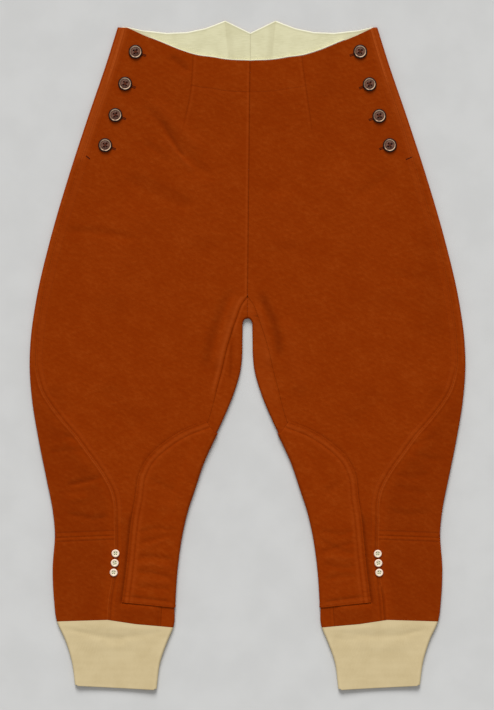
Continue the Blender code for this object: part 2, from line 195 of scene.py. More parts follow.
def inner_turn(side, down):
    """Where the cloth starts to turn round the arch or the inner edge, or the middle seam above them."""
    arch = np.maximum(middle(side, down), TURN_HALF_WIDTH * np.sin(arch_angle(down)))
    leg = inner_edge(down) + FOLD_RADIUS
    return np.where(down <= ARCH_TOP, middle(side, down), np.where(down < ARCH_FOOT, arch, leg))


def level_at(across, down):
    """The level of the upper cloth: high at the rounded edges and over the waist's inner layers."""
    lift = ease((WAIST_LIFT_TO - down) / (WAIST_LIFT_TO - WAIST_LIFT_FROM))
    base = MIDDLE_LEVEL + WAIST_LIFT * lift
    stretch = TURN_HEIGHT / TURN_HALF_WIDTH
    from_arch = np.hypot(across * stretch, ARCH_FOOT - down) - TURN_HEIGHT
    from_leg = across - inner_edge(down) - FOLD_RADIUS
    from_inner = np.where(down < ARCH_FOOT, from_arch, from_leg)
    near_outer = np.exp(-np.maximum(outer_turn(down) - across, 0) / EDGE_SOFTNESS)
    near_inner = np.exp(-np.maximum(from_inner, 0) / EDGE_SOFTNESS)
    rim = 1 - (1 - near_outer) * (1 - near_inner)
    return base + (EDGE_LEVEL - base) * rim


print("leg: lower layer at", LOWER_LEVEL, "mm, edges at", EDGE_LEVEL, "mm")

# %% [markdown]
# Heavy cotton doesn't lie like paper. It keeps soft pulls that run from the crotch, a few slanting
# drags under the waist, and short crossways wrinkles where the calf and the knee bend. Each one
# here is a line of points with a width and a height: a ridge is above nothing, a trough below it.
# Each crease also paints shade into the colour of its trough and light onto its ridge, more where it
# is steep, scaled by its shade.
# They are placed one by one, a set for each leg, because no two sides of a garment crease alike.

# %% Crease the cloth
CREASES = {
    "left": [
        {"line": [(20, 388), (36, 458), (48, 504)], "width": 8, "height": 1.2},
        {"line": [(19, 380), (34, 410), (43, 435), (52, 460), (62, 510)],
         "width": 7.5, "height": -0.8, "shade": 2.1},
        {"line": [(21, 432), (23.5, 462), (23.5, 490), (25, 520)],
         "width": 2.0, "height": -0.45, "shade": 1.5},
        {"line": [(14, 425), (15, 445), (14, 475), (16, 495)], "width": 3.2, "height": 0.6, "shade": 1.5},
        {"line": [(154, 113), (112, 161), (84, 192), (44, 232)], "width": 6, "height": -0.5},
        {"line": [(124, 140), (108, 166), (96, 186), (88, 198)], "width": 3.4, "height": -0.7, "shade": 1.3},
        {"line": [(122, 163), (112, 174), (96, 194), (74, 218)], "width": 2.6, "height": 0.45},
        {"line": [(150, 172), (128, 186), (110, 205)], "width": 5, "height": -0.4},
        {"line": [(112, 50), (98, 60), (84, 74)], "width": 5.5, "height": -0.8, "shade": 1.3},
        {"line": [(140, 108), (92, 158), (62, 190)], "width": 9, "height": 0.6},
        {"line": [(178, 223), (124, 246), (72, 270)], "width": 9, "height": -0.8},
        {"line": [(268, 299), (210, 302), (154, 313)], "width": 6, "height": -0.5},
        {"line": [(150, 250), (178, 330), (205, 420)], "width": 28, "height": 0.8},
        {"line": [(70, 210), (60, 330)], "width": 26, "height": 0.6},
        {"line": [(270, 560), (225, 650)], "width": 14, "height": 0.7},
        {"line": [(288, 617), (262, 614), (230, 613)], "width": 3.0, "height": -0.4},
        {"line": [(264, 593), (246, 597)], "width": 3, "height": -0.6},
        {"line": [(262, 664), (244, 661), (226, 657), (206, 650)], "width": 2.6, "height": -0.75},
        {"line": [(256, 670), (236, 666), (216, 660)], "width": 3, "height": 0.3},
        {"line": [(262, 704), (243, 707), (222, 712), (196, 708)], "width": 2.8, "height": -0.65},
        {"line": [(262, 684), (226, 681)], "width": 5, "height": 0.6},
        {"line": [(208, 520), (180, 560), (150, 590)], "width": 16, "height": -0.5},
        {"line": [(284, 520), (274, 560), (258, 606)], "width": 17, "height": -0.4, "shade": 4},
    ],
    "right": [
        {"line": [(16, 384), (22, 396), (28, 412), (38, 432), (44, 456), (48, 490)],
         "width": 6.2, "height": -0.9, "shade": 2.4},
        {"line": [(12, 400), (20, 428), (27, 462), (34, 500)], "width": 6, "height": 0.9, "shade": 1.3},
        {"line": [(52, 420), (66, 480), (78, 540)], "width": 12, "height": 0.8},
        {"line": [(151, 252), (182, 236), (208, 213)], "width": 8, "height": -0.35},
        {"line": [(120, 190), (166, 300), (205, 420)], "width": 30, "height": 0.7},
        {"line": [(46, 240), (56, 330)], "width": 24, "height": 0.6},
        {"line": [(268, 372), (240, 368), (200, 362)], "width": 8, "height": -0.25},
        {"line": [(272, 566), (232, 640)], "width": 13, "height": 0.6},
        {"line": [(268, 596), (244, 604), (226, 606)], "width": 3, "height": -0.3},
        {"line": [(286, 628), (262, 626), (234, 618)], "width": 3.4, "height": -0.3},
        {"line": [(262, 646), (238, 652), (210, 648)], "width": 3, "height": -0.35},
        {"line": [(262, 676), (236, 672), (208, 664)], "width": 3.4, "height": -0.3},
        {"line": [(266, 702), (232, 706), (200, 701)], "width": 3.4, "height": -0.4},
        {"line": [(190, 530), (164, 566), (138, 584)], "width": 14, "height": -0.5},
        {"line": [(282, 520), (272, 560), (256, 606)], "width": 17, "height": -0.4, "shade": 4},
        {"line": [(262, 290), (268, 480)], "width": 24, "height": -0.4, "shade": 5},
        {"line": [(120, 30), (116, 125)], "width": 20, "height": -0.3, "shade": 4},
    ],
}
CREASE_FADE = 0.2
CREASE_DEPTH = 1.6
CREASE_SHADE = 0.6
EDGE_HOLD = 7
LOWEST = 1.5 * CLOTH + 0.12


def crease_rise(creases, across, down, steep=False):
    """What a set of creases adds to the level of the cloth, or how steep it makes it there."""
    rise = np.zeros(np.broadcast(across, down).shape)
    for crease in creases:
        line = np.array(crease["line"], float)
        steps = np.diff(line, axis=0)
        lengths = np.hypot(*steps.T)
        starts = np.concatenate([[0], np.cumsum(lengths)[:-1]])
        nearest = np.full(rise.shape, np.inf)
        along = np.zeros(rise.shape)
        for (x, y), (run, fall), length, start in zip(line, steps, lengths, starts):
            share = np.clip(((across - x) * run + (down - y) * fall) / length**2, 0, 1)
            away = np.hypot(across - x - run * share, down - y - fall * share)
            along = np.where(away < nearest, start + share * length, along)
            nearest = np.minimum(away, nearest)
        share = along / lengths.sum()
        fade = ease(share / CREASE_FADE) * ease((1 - share) / CREASE_FADE)
        size = crease["height"] * (crease.get("shade", 1) / crease["width"] if steep else 1)
        rise += CREASE_DEPTH * size * fade * near(nearest, 0, crease["width"])
    return rise


def edge_hold(name, across, down):
    """Creases die out at the turned edges: one inside the leg, nothing at its edges."""
    from_outer = np.maximum(outer_turn(down) - across, 0)
    from_inner = np.where(down > ARCH_TOP, across - inner_turn(SIDES[name], down), EDGE_HOLD * 9)
    return (1 - np.exp(-from_outer / EDGE_HOLD)) * (1 - np.exp(-np.maximum(from_inner, 0) / EDGE_HOLD))


def above_lower(level):
    """Keeps the upper cloth from sinking into the lower one."""
    over = level - LOWEST
    return LOWEST + np.where(over > 0.5, over, 0.5 * np.exp(np.minimum(over, 0.5) / 0.5 - 1))


def soft_level(name, across, down):
    """The level of the upper cloth with its creases."""
    crease = crease_rise(CREASES[name], across, down) * edge_hold(name, across, down)
    return above_lower(level_at(across, down) + crease)


def soft_shade(name, across, down):
    """Shade painted into the colour inside creases, and light painted on top of them."""
    steepness = crease_rise(CREASES[name], across, down, steep=True)
    return -CREASE_SHADE * steepness * edge_hold(name, across, down)


print("creases:", {name: len(rows) for name, rows in CREASES.items()})

# %% [markdown]
# The look of cloth is in its finish: brushed cotton is a twill whose surface has been raised into
# a short nap, so its colour wanders in soft patches and it brightens where it is seen at a slant.
# Shade in its seams and creases and light on its ridges are painted into its colour. Shader maths
# stays readable when it is written as sums, so one small class wraps a socket and turns Python's
# operators into Math nodes. A second one holds a material while it is made. Its ribs use Blender's
# wave, which turns by 20 radians for each unit of place.

# %% Write shader maths as Python
WAVE_TURN = 20


class Wire:
    """A socket of a finish, which adds and multiplies like a number."""

    def __init__(self, finish, socket):
        self.finish = finish
        self.socket = socket

    def math(self, operation, *values):
        return self.finish.node("Math", {"operation": operation}, dict(enumerate(values)))

    def __add__(self, other):
        return self.math("ADD", self, other)

    def __sub__(self, other):
        return self.math("SUBTRACT", self, other)

    def __rsub__(self, other):
        return self.math("SUBTRACT", other, self)

    def __mul__(self, other):
        return self.math("MULTIPLY", self, other)

    __radd__ = __add__
    __rmul__ = __mul__


class Finish:
    """A material under construction, whose shader's constants are set straight away."""

    def __init__(self, name, constants):
        self.material = bpy.data.materials.new(name)
        self.material.use_nodes = True
        self.tree = self.material.node_tree
        self.shader = self.tree.nodes["Principled BSDF"]
        for socket, value in constants.items():
            self.shader.inputs[socket].default_value = value

    def put(self, socket, value):
        if isinstance(value, Wire):
            self.tree.links.new(value.socket, socket)
        else:
            socket.default_value = value

    def node(self, kind, settings, sockets, output=0):
        """Any node: its settings are set first, then the values or links of its sockets."""
        made = self.tree.nodes.new("ShaderNode" + kind)
        for key, value in settings.items():
            setattr(made, key, value)
        for key, value in sockets.items():
            self.put(made.inputs[key], value)
        return Wire(self, made.outputs[output])

    def blend(self, share, first, second):
        """A colour between two, or one laid on the other."""
        return self.node("Mix", {"data_type": "RGBA"}, {0: share, 6: first, 7: second}, output=2)

    def place(self, turn=0.0, stretch=1.0):
        """Where a point is on the garment, in metres, with patterns drawn out along a turned line."""
        here = self.node("TexCoord", {}, {}, output="Object")
        sockets = {"Vector": here, "Rotation": (0, 0, turn), "Scale": (stretch, 1.0, 1.0)}
        return self.node("Mapping", {"vector_type": "TEXTURE"}, sockets)

    def noise(self, place, size, detail=2.0, roughness=0.5):
        """Soft noise from 0 to 1 whose patches are about a size in millimetres."""
        sockets = {"Vector": place, "Scale": 1000 / size, "Detail": detail, "Roughness": roughness}
        return self.node("TexNoise", {}, sockets)

    def ribs(self, place, pitch, distortion, detail, way="X"):
        """Wavering ribs from 0 to 1, about a pitch in millimetres apart."""
        scale = 2 * math.pi / WAVE_TURN / (pitch * MM)
        sockets = {"Vector": place, "Scale": scale, "Distortion": distortion, "Detail": detail}
        return self.node("TexWave", {"bands_direction": way}, sockets)

    def ramp(self, value, start, end, low=0.0, high=1.0, way="SMOOTHSTEP"):
        """A value carried from one range to another."""
        sockets = {"Value": value, "From Min": start, "From Max": end, "To Min": low, "To Max": high}
        return self.node("MapRange", {"interpolation_type": way}, sockets)

    def painted_shading(self):
        """The shade painted at a point, as the mesh says: below nothing where light is painted instead."""
        return self.node("Attribute", {"attribute_name": "painted_shading"}, {}, output="Fac")

    def sewn(self, colour, dark, light):
        """A colour darkened by painted shade and lightened by painted light, as the mesh says."""
        colour = self.blend(self.ramp(self.painted_shading(), 0.0, 1.0, way="LINEAR"), colour, dark)
        return self.blend(self.ramp(self.painted_shading(), 0.0, -1.0, way="LINEAR"), colour, light)

    def bump(self, height, distance, under=None):
        """A surface raised by a height from 0 to 1 over a distance in millimetres."""
        sockets = {"Height": height, "Distance": distance * MM, "Strength": 1.0}
        if under:
            sockets["Normal"] = under
        return self.node("Bump", {}, sockets)

    def finish(self, **outputs):
        for socket, value in outputs.items():
            self.put(self.shader.inputs[socket.replace("_", " ")], value)
        return self.material


print("shader maths ready")

# %% [markdown]
# The rust cotton has three scales of variation: broad patches where hands and folding have laid
# the nap one way, streaks along the slant of the twill, and a fine fuzz. The broad ones stay faint
# because the eye finds them anyway. Slanting ribs are a shallow bump under the fuzz.

# %% Brush the cotton
RUST_DEEP = (0.234, 0.0274, 0.0010, 1)
RUST = (0.262, 0.0356, 0.0020, 1)
RUST_WORN = (0.290, 0.0445, 0.0040, 1)
# Painted shade: the colour the cloth darkens to in seams, creases and rows, and also over the calf's border,
# beside the knee patch and near the hem.
RUST_PAINTED_SHADE = (0.085, 0.0080, 0.0005, 1)
# Painted light: the colour the cloth lightens to on lit ridges, on the placket, along the rounded outer edge
# and on the right strip near the crotch.
RUST_PAINTED_LIGHT = (0.400, 0.0700, 0.0090, 1)
NAP_SLANT = math.radians(-38)
DRAG_SLANT = math.radians(12)
RIB_SLANT = math.radians(63)
RIB_SPACING = 6.9115


def brushed_cotton():
    constants = {"Sheen Weight": 0.10, "Sheen Roughness": 0.5, "Specular IOR Level": 0.0}
    cloth = Finish("brushed_cotton", constants)
    cloth.shader.inputs["Sheen Tint"].default_value = (1.0, 0.32, 0.06, 1)
    here = cloth.place()
    broad = cloth.noise(cloth.place(NAP_SLANT, 1.8), 22, detail=3.0, roughness=0.6)
    grain = cloth.noise(cloth.place(NAP_SLANT, 1.5), 4.6, detail=2.0, roughness=0.6)
    drags = cloth.noise(cloth.place(DRAG_SLANT, 4.0), 5.0, detail=2.0, roughness=0.5)
    fuzz = cloth.noise(here, 1.4, detail=3.0, roughness=0.7)
    nap = broad * 0.26 + grain * 0.30 + drags * 0.16 + fuzz * 0.28
    colour = cloth.blend(cloth.ramp(nap, 0.40, 0.60), RUST_DEEP, RUST)
    colour = cloth.blend(cloth.ramp(nap, 0.52, 0.66, 0, 0.7), colour, RUST_WORN)
    # Shade and light are painted into the colour here, as the mesh says.
    colour = cloth.sewn(colour, RUST_PAINTED_SHADE, RUST_PAINTED_LIGHT)
    ribs = cloth.ribs(cloth.place(RIB_SLANT), RIB_SPACING, 1.5, 2.0)
    raised = cloth.bump(ribs * 0.35 + fuzz * 0.65, 0.16)
    raised = cloth.bump(grain * 0.6 + drags * 0.4, 0.45, under=raised)
    return cloth.finish(Base_Color=colour, Roughness=cloth.ramp(nap, 0.3, 0.7, 0.96, 0.86), Normal=raised)


RUST_CLOTH = brushed_cotton()
print("brushed cotton:", len(RUST_CLOTH.node_tree.nodes), "nodes")

# %% [markdown]
# The other cloths are quieter. The waist is lined with plain cream cotton, whose uneven yarns show
# as slubs that run across it. The cuffs are a beige rib knit: the ribs are in the mesh, and the
# yarn's fuzz and the uneven pull of its rows are a bump. Both also take shade and light that their
# meshes paint into their colour.

# %% Finish the lining and the knit
CREAM = (0.735, 0.700, 0.455, 1)
CREAM_SHADE = (0.655, 0.620, 0.390, 1)
# Painted shade, at the lining's seam, darts and row of stitches.
CREAM_PAINTED_SHADE = (0.430, 0.385, 0.215, 1)
# Painted light, along the top edges of the lining and the facing.
CREAM_PAINTED_LIGHT = (0.900, 0.880, 0.700, 1)
KNIT_LIGHT = (0.655, 0.530, 0.305, 1)
KNIT_SHADE = (0.590, 0.470, 0.260, 1)
# Painted shade, in the valleys of the ribs, at the seam and along the crease.
KNIT_PAINTED_SHADE = (0.420, 0.320, 0.165, 1)
KNIT_ROWS = 9.4248


def cream_cotton():
    cloth = Finish("cream_cotton", {"Sheen Weight": 0.05, "Sheen Roughness": 0.5, "Specular IOR Level": 0.1})
    slubs = cloth.noise(cloth.place(0.0, 9.0), 1.0, detail=3.0)
    stains = cloth.noise(cloth.place(), 24, detail=3.0)
    weave = cloth.noise(cloth.place(math.pi / 2, 6.0), 0.7)
    colour = cloth.blend(cloth.ramp(slubs * 0.5 + stains * 0.5, 0.36, 0.62), CREAM_SHADE, CREAM)
    # Shade and light are painted into the colour here, as the mesh says.
    colour = cloth.sewn(colour, CREAM_PAINTED_SHADE, CREAM_PAINTED_LIGHT)
    raised = cloth.bump(slubs * 0.6 + weave * 0.4, 0.10)
    return cloth.finish(Base_Color=colour, Roughness=cloth.ramp(slubs, 0.3, 0.7, 0.92, 0.82), Normal=raised)


def rib_knit():
    cloth = Finish("rib_knit", {"Sheen Weight": 0.08, "Sheen Roughness": 0.5, "Specular IOR Level": 0.05})
    here = cloth.place()
    cloudy = cloth.noise(here, 22, detail=3.0)
    fuzz = cloth.noise(here, 0.9, detail=3.0, roughness=0.7)
    rows = cloth.ribs(here, KNIT_ROWS, 1.2, 1.0, way="Y")
    colour = cloth.blend(cloth.ramp(cloudy * 0.5 + fuzz * 0.5, 0.34, 0.64), KNIT_SHADE, KNIT_LIGHT)
    # Shade and light are painted into the colour here, as the mesh says.
    colour = cloth.sewn(colour, KNIT_PAINTED_SHADE, KNIT_LIGHT)
    raised = cloth.bump(rows * 0.35 + fuzz * 0.65, 0.11)
    return cloth.finish(Base_Color=colour, Roughness=cloth.ramp(fuzz, 0.3, 0.7, 0.95, 0.85), Normal=raised)


CREAM_CLOTH = cream_cotton()
KNIT_CLOTH = rib_knit()
print("cream cotton and rib knit ready")

# %% [markdown]
# Horn is dark brown and polished, with paler streaks that run through the whole button. The small
# shirt buttons are pale shell, a little yellow, with a soft gloss. Thread is cotton in a shade that
# nearly matches what it sews, so rows of stitches show by their shadows more than by their colour.
# On the horn, a broken pale ring is painted light where the raised rim catches it, and the sloping
# outer rim and the holes are painted in near-black shade. On the shell, shade is painted in the
# dished middle and around the holes.

# %% Finish the buttons and the threads
HORN_DARK = (0.020, 0.0080, 0.0050, 1)
HORN_BROWN = (0.180, 0.078, 0.050, 1)
# Painted shade, on the sloping outer rim and in and around the holes.
HORN_PAINTED_SHADE = (0.003, 0.0015, 0.0012, 1)
HORN_HOLES = (2.12, 2.12, 0)
# Painted light, a broken ring along the raised rim.
HORN_RIM_PAINTED_LIGHT = (0.70, 0.50, 0.33, 1)
HORN_RING_AT = 7.5
HORN_RING_WIDTH = 0.75
SHELL_PALE = (0.95, 0.78, 0.62, 1)
SHELL_WARM = (0.84, 0.66, 0.50, 1)
# Painted shade, in the dished middle.
SHELL_DISH_PAINTED_SHADE = (0.76, 0.72, 0.50, 1)
SHELL_DISH_RADIUS = 3.3
SHELL_SHADE = (0.30, 0.30, 0.17, 1)
SHELL_HOLES = (1.48, 1.48, 0)


def on_button(finish):
    """Where a point is beside a button's own axis, in millimetres."""
    return finish.node("VectorMath", {"operation": "MULTIPLY"}, {0: finish.place(), 1: (1000, 1000, 0)})


def from_axis(finish):
    """How far a point is from a button's own axis, in millimetres."""
    return finish.node("VectorMath", {"operation": "LENGTH"}, {0: on_button(finish)}, output="Value")


def from_holes(finish, holes):
    """How far a point is from the nearest of a button's four holes, in millimetres."""
    folded = finish.node("VectorMath", {"operation": "ABSOLUTE"}, {0: on_button(finish)})
    return finish.node("VectorMath", {"operation": "DISTANCE"}, {0: folded, 1: holes}, output="Value")


def horn():
    finish = Finish("horn", {"Coat Roughness": 0.25, "Coat Weight": 0.08, "Specular IOR Level": 0.2})
    streaks = finish.noise(finish.place(0.9, 6.0), 1.6, detail=3.0, roughness=0.6)
    specks = finish.noise(finish.place(), 0.9, detail=2.0)
    colour = finish.blend(finish.ramp(streaks * 0.7 + specks * 0.3, 0.36, 0.60), HORN_DARK, HORN_BROWN)
    # A broken pale ring of painted light along the raised rim.
    beyond = from_axis(finish) - HORN_RING_AT
    away = beyond.math("ABSOLUTE", beyond)
    broken = finish.noise(finish.place(), 6.0, detail=1.0)
    ring = finish.ramp(away, HORN_RING_WIDTH, HORN_RING_WIDTH * 0.3) * finish.ramp(broken, 0.38, 0.6, 0.25, 1)
    colour = finish.blend(ring, colour, HORN_RIM_PAINTED_LIGHT)
    # Painted shade: near black on the sloping outer rim and in and around the holes.
    colour = finish.blend(finish.ramp(from_axis(finish), 8.2, 8.8), colour, HORN_PAINTED_SHADE)
    colour = finish.blend(finish.ramp(from_holes(finish, HORN_HOLES), 1.5, 1.2), colour, HORN_PAINTED_SHADE)
    return finish.finish(
        Base_Color=colour, Roughness=finish.ramp(specks, 0.3, 0.7, 0.34, 0.5),
        Normal=finish.bump(streaks, 0.05),
    )


def shell():
    finish = Finish("shell_button", {"Coat Roughness": 0.3, "Coat Weight": 0.1, "Specular IOR Level": 0.3})
    cloudy = finish.noise(finish.place(0.4, 3.0), 2.2, detail=3.0)
    colour = finish.blend(finish.ramp(cloudy, 0.35, 0.66), SHELL_WARM, SHELL_PALE)
    # Painted shade in the dished middle and around the holes.
    painted_dish_shade = finish.ramp(from_axis(finish), SHELL_DISH_RADIUS, SHELL_DISH_RADIUS - 0.6)
    colour = finish.blend(painted_dish_shade, colour, SHELL_DISH_PAINTED_SHADE)
    colour = finish.blend(finish.ramp(from_holes(finish, SHELL_HOLES), 1.1, 0.7), colour, SHELL_SHADE)
    return finish.finish(
        Base_Color=colour, Roughness=finish.ramp(cloudy, 0.3, 0.7, 0.35, 0.5),
        Normal=finish.bump(cloudy, 0.04),
    )


def sewing_thread(name, dark, light):
    finish = Finish(name, {"Sheen Roughness": 0.5, "Specular IOR Level": 0.05})
    twist = finish.noise(finish.place(), 0.6, detail=2.0)
    colour = finish.blend(finish.ramp(twist, 0.35, 0.65), dark, light)
    return finish.finish(
        Base_Color=colour, Roughness=finish.ramp(twist, 0.3, 0.7, 0.75, 0.6),
        Normal=finish.bump(twist, 0.08),
    )


HORN = horn()
SHELL = shell()
RUST_THREAD = sewing_thread("rust_thread", (0.180, 0.022, 0.0012, 1), (0.250, 0.034, 0.0020, 1))
HOLE_THREAD = sewing_thread("hole_thread", (0.055, 0.007, 0.0016, 1), (0.110, 0.015, 0.0030, 1))
CREAM_THREAD = sewing_thread("cream_thread", (0.55, 0.50, 0.30, 1), (0.74, 0.70, 0.48, 1))
print("materials:", sorted(material.name for material in bpy.data.materials if material.use_nodes))

# %% [markdown]
# A panel is a sheet with rows across it and columns down it. Even spacing would waste points on
# plain cloth and lose the seams, so rows and columns crowd where there is sewing. The sheet is the
# middle of the cloth: Solidify gives it its wall, and a narrow Bevel rounds the cut edges.

# %% Make a cloth from its sheet
WELD = 0.02
SOFT_EDGE = 0.4
CROWD = [-2.2, -1.3, -0.6, 0, 0.6, 1.3, 2.2]
garment = bpy.data.collections.new("riding_breeches")
bpy.context.scene.collection.children.link(garment)


def rows_between(start, end, step, lines=()):
    """Levels for rows, evenly spaced, with a crowd of them at each line of sewing."""
    even = np.linspace(start, end, round((end - start) / step) + 1)
    crowd = np.array([line + offset for line in lines for offset in CROWD])
    if len(crowd):
        even = even[np.abs(even[:, None] - crowd[None, :]).min(axis=1) > 0.9]
    rows = np.concatenate([even, crowd, [start, end]])
    return np.unique(np.round(np.clip(rows, start, end), 4))


def points(side, across, down, level):
    """Places on the garment, in metres, from arrays in millimetres."""
    across, down, level = np.broadcast_arrays(across, down, level)
    return np.stack([side * across, MIDDLE_DOWN - down, level], axis=-1) * MM


def add_object(name, mesh, material):
    made = bpy.data.objects.new(name, mesh)
    garment.objects.link(made)
    mesh.materials.append(material)
    return made


def sheet_mesh(name, grids):
    """One welded mesh from grids of points, each with the shade and light painted at its points."""
    places, faces, painted_shadings = [], [], []
    count = 0
    for grid, painted_shading in grids:
        rows, columns = grid.shape[:2]
        index = count + np.arange(rows * columns).reshape(rows, columns)
        corners = [index[:-1, :-1], index[:-1, 1:], index[1:, 1:], index[1:, :-1]]
        faces.append(np.stack(corners, axis=-1).reshape(-1, 4))
        places.append(grid.reshape(-1, 3))
        painted_shadings.append(np.broadcast_to(painted_shading, (rows, columns)).ravel())
        count += rows * columns
    mesh = bpy.data.meshes.new(name)
    mesh.from_pydata(np.concatenate(places).tolist(), [], np.concatenate(faces).tolist())
    # The shade and light painted into the colour ride on the mesh as a point attribute.
    shade = mesh.attributes.new("painted_shading", "FLOAT", "POINT")
    shade.data.foreach_set("value", np.concatenate(painted_shadings).astype(np.float32))
    bm = bmesh.new()
    bm.from_mesh(mesh)
    bmesh.ops.remove_doubles(bm, verts=bm.verts, dist=WELD * MM)
    bmesh.ops.recalc_face_normals(bm, faces=bm.faces)
    area = sum(face.calc_area() for face in bm.faces)
    bm.to_mesh(mesh)
    bm.free()
    mesh.shade_smooth()
    return mesh, area


def flat_size(grids):
    """The unrolled width and length of grids that lie side by side."""
    widths = [np.linalg.norm(np.diff(grid, axis=1), axis=2).sum(axis=1).max() for grid, _ in grids]
    lengths = [np.linalg.norm(np.diff(grid, axis=0), axis=2).sum(axis=0).max() for grid, _ in grids]
    return float(sum(widths)), float(max(lengths))


def add_cloth(node, grids, beside, wall, material, slot, rests_on):
    """A cloth that stands for a node: grids make its sheet, and those beside each other its width."""
    name = f"{node}_cloth"
    mesh, area = sheet_mesh(name, grids)
    made = add_object(name, mesh, material)
    thickness = made.modifiers.new("wall", "SOLIDIFY")
    thickness.thickness = wall * MM
    thickness.offset = 0
    thickness.use_even_offset = True
    soft = made.modifiers.new("soft_edge", "BEVEL")
    soft.width = SOFT_EDGE * MM
    soft.segments = 2
    soft.limit_method = "ANGLE"
    soft.angle_limit = math.radians(60)
    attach(made, "root")
    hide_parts(node)
    width, length = flat_size(beside)
    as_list(rests_on)
    cut = f"{width * 1000:.0f} x {length * 1000:.0f} mm"
    print(f"{name}: {len(mesh.polygons)} faces, cut {cut}, {area:.4f} m2")


# %% [markdown]
# The back reaches round both edges, so from above it shows as a narrow border outside the side
# seam, as a strip inside the inseam and as the tip of the crotch. Its rows run from the side seam
# round the outer edge and under the leg, and a second set comes up round the inner edge. Rows keep
# a parallel course to the waist and to the hem, and straighten between them. The side seam's sewing
# is a table of marks: each has a place beside the seam, a width, how far the cloth rises there where
# that shows, and how much shade is painted into its colour there, less than nothing where light is
# painted instead.

# %% Shape the back and the calf
WAIST_KEEP = 50
WAIST_FADE = 240
HEM_FADE = 60
TURN_STEPS = 10
FLAP_COLUMNS = 30
INNER_COLUMNS = 14
LOWER_COLUMNS = 40
KNEE_ROW_ABOVE = 7.0
KNEE_ROW_BELOW = 5.7
KNEE_TILT = [(150, 0), (190, -0.6), (275, 2.6)]
KNEE_TILT_REACH = 45
INSEAM_GROOVE = {"left": 0.30, "right": 0.05}
INSEAM_FLAT_FROM = 515
RIGHT_STRIP_LIGHTER = 0.13
INSEAM_ROW = 4.5
INSEAM_ROW_FROM = 836
BACK_SHADE = 0.16
SIDE_MARKS = {
    "placket": [
        (-5, 4.6, 0.0, -0.30), (0.6, 1.4, 0.2, -0.22), (4.2, 1.2, 0.1, -0.14), (1.5, 5.0, 0.0, -0.24),
    ],
    "sliver": [(0.3, 1.0, 0.15, -1.1)],
    "thigh": [(0.1, 1.3, -0.02, -0.14), (3.8, 1.2, 0.04, -0.08), (7.2, 2.6, 0.08, -0.09)],
    "calf": [
        (-3.3, 1.3, -0.06, 0.19), (-0.3, 1.5, 0.15, -0.46), (3.1, 1.1, -0.14, 0.24),
        (7.0, 2.6, 0.12, -0.16),
    ],
    "foot": [
        (-2.4, 1.3, -0.05, 0.12), (-0.4, 1.5, 0.12, -0.28), (3.3, 1.1, -0.12, 0.21),
        (7.0, 2.6, 0.12, -0.15),
    ],
    "right foot": [
        (-4.5, 1.4, 0.05, -0.10), (-1.5, 1.4, -0.06, 0.30), (2.0, 1.4, 0.10, -0.16),
        (5.0, 1.2, -0.10, 0.22), (8.0, 2.4, 0.10, -0.12),
    ],
}
SIDE_CHANGES = {
    "sliver": (66, 30), "placket": (192, 14), "calf": (486, 40), "foot": (680, 20), "right foot": (806, 8),
}
KNEE_MARKS = [
    (0, 0.9, 0.2), (-KNEE_ROW_ABOVE, 0.9, 0.22), (KNEE_ROW_BELOW, 0.9, 0.24),
    (-3, 1.7, -0.14), (2.6, 1.6, -0.18), (KNEE_ROW_BELOW + 3, 1.4, -0.1),
]
PLACKET_STRENGTH = {"left": 1.0, "right": 0.65}


knee_tilt = straight_curve(KNEE_TILT)


def row_down(side, level, across, waist):
    """Where a row crosses the cloth, at each place across it."""
    fade = 1 - ease((level - WAIST_KEEP) / (WAIST_FADE - WAIST_KEEP))
    by_waist = waist(across - side * lean(level)) * fade
    by_hem = hem_dip(across) * np.maximum(0, 1 - (HEM_LEVEL - level) / HEM_FADE)
    by_knee = knee_tilt(across) * near(level, KNEE_SEAM, KNEE_TILT_REACH) * (waist is back_waist)
    return level + by_waist + by_hem + by_knee


def panel(side, levels, waist, start, end, shares):
    """The (across, down) of every point between two edges, each a function of down."""
    level = levels[:, None]
    across = mix(start(level), end(level), shares[None, :])
    down = row_down(side, level, across, waist)
    return mix(start(down), end(down), shares[None, :]), down


def slant(seam, down):
    """How much longer than its fall a seam runs, because it slants."""
    return np.hypot(1, (seam(down + 1) - seam(down - 1)) / 2)


def inseam_depth(name, down):
    """How deep the inseam lies in the cloth: deep near the crotch on one leg, nearly flat elsewhere."""
    flat = INSEAM_GROOVE["right"]
    return mix(INSEAM_GROOVE[name], flat, ease((down - INSEAM_FLAT_FROM) / 40))


def past(change, down):
    """Nothing above the place where the side seam's sewing changes, and one below it."""
    place, length = SIDE_CHANGES[change]
    return ease((down - place) / length)


def side_marks(name, beside, down):
    """The level that the side seam's sewing adds, and the shade and light painted, at a distance inside it.
    """
    placket = 1 - past("placket", down)
    calf = past("calf", down)
    foot = past("foot", down)
    right_foot = past("right foot", down) * (name == "right")
    strengths = {
        "placket": placket * PLACKET_STRENGTH[name], "thigh": (1 - placket) * (1 - calf),
        "calf": calf - foot, "foot": foot - right_foot, "right foot": right_foot,
        "sliver": 1 - past("sliver", down),
    }
    rise = np.zeros(np.broadcast(beside, down).shape)
    painted_shading = np.zeros(rise.shape)
    for stretch, strength in strengths.items():
        for place, width, height, depth in SIDE_MARKS[stretch]:
            rise += strength * height * near(beside, place, width)
            painted_shading += strength * depth * near(beside, place, width)
    return rise, painted_shading


def knee_sewing(across, down):
    """Shade painted at the knee seam and its stitched rows, light between; the border sinks and rises with
    it.
    """
    place = down - knee_tilt(across) - KNEE_SEAM
    return sum(depth * near(place, mark, width) for mark, width, depth in KNEE_MARKS)


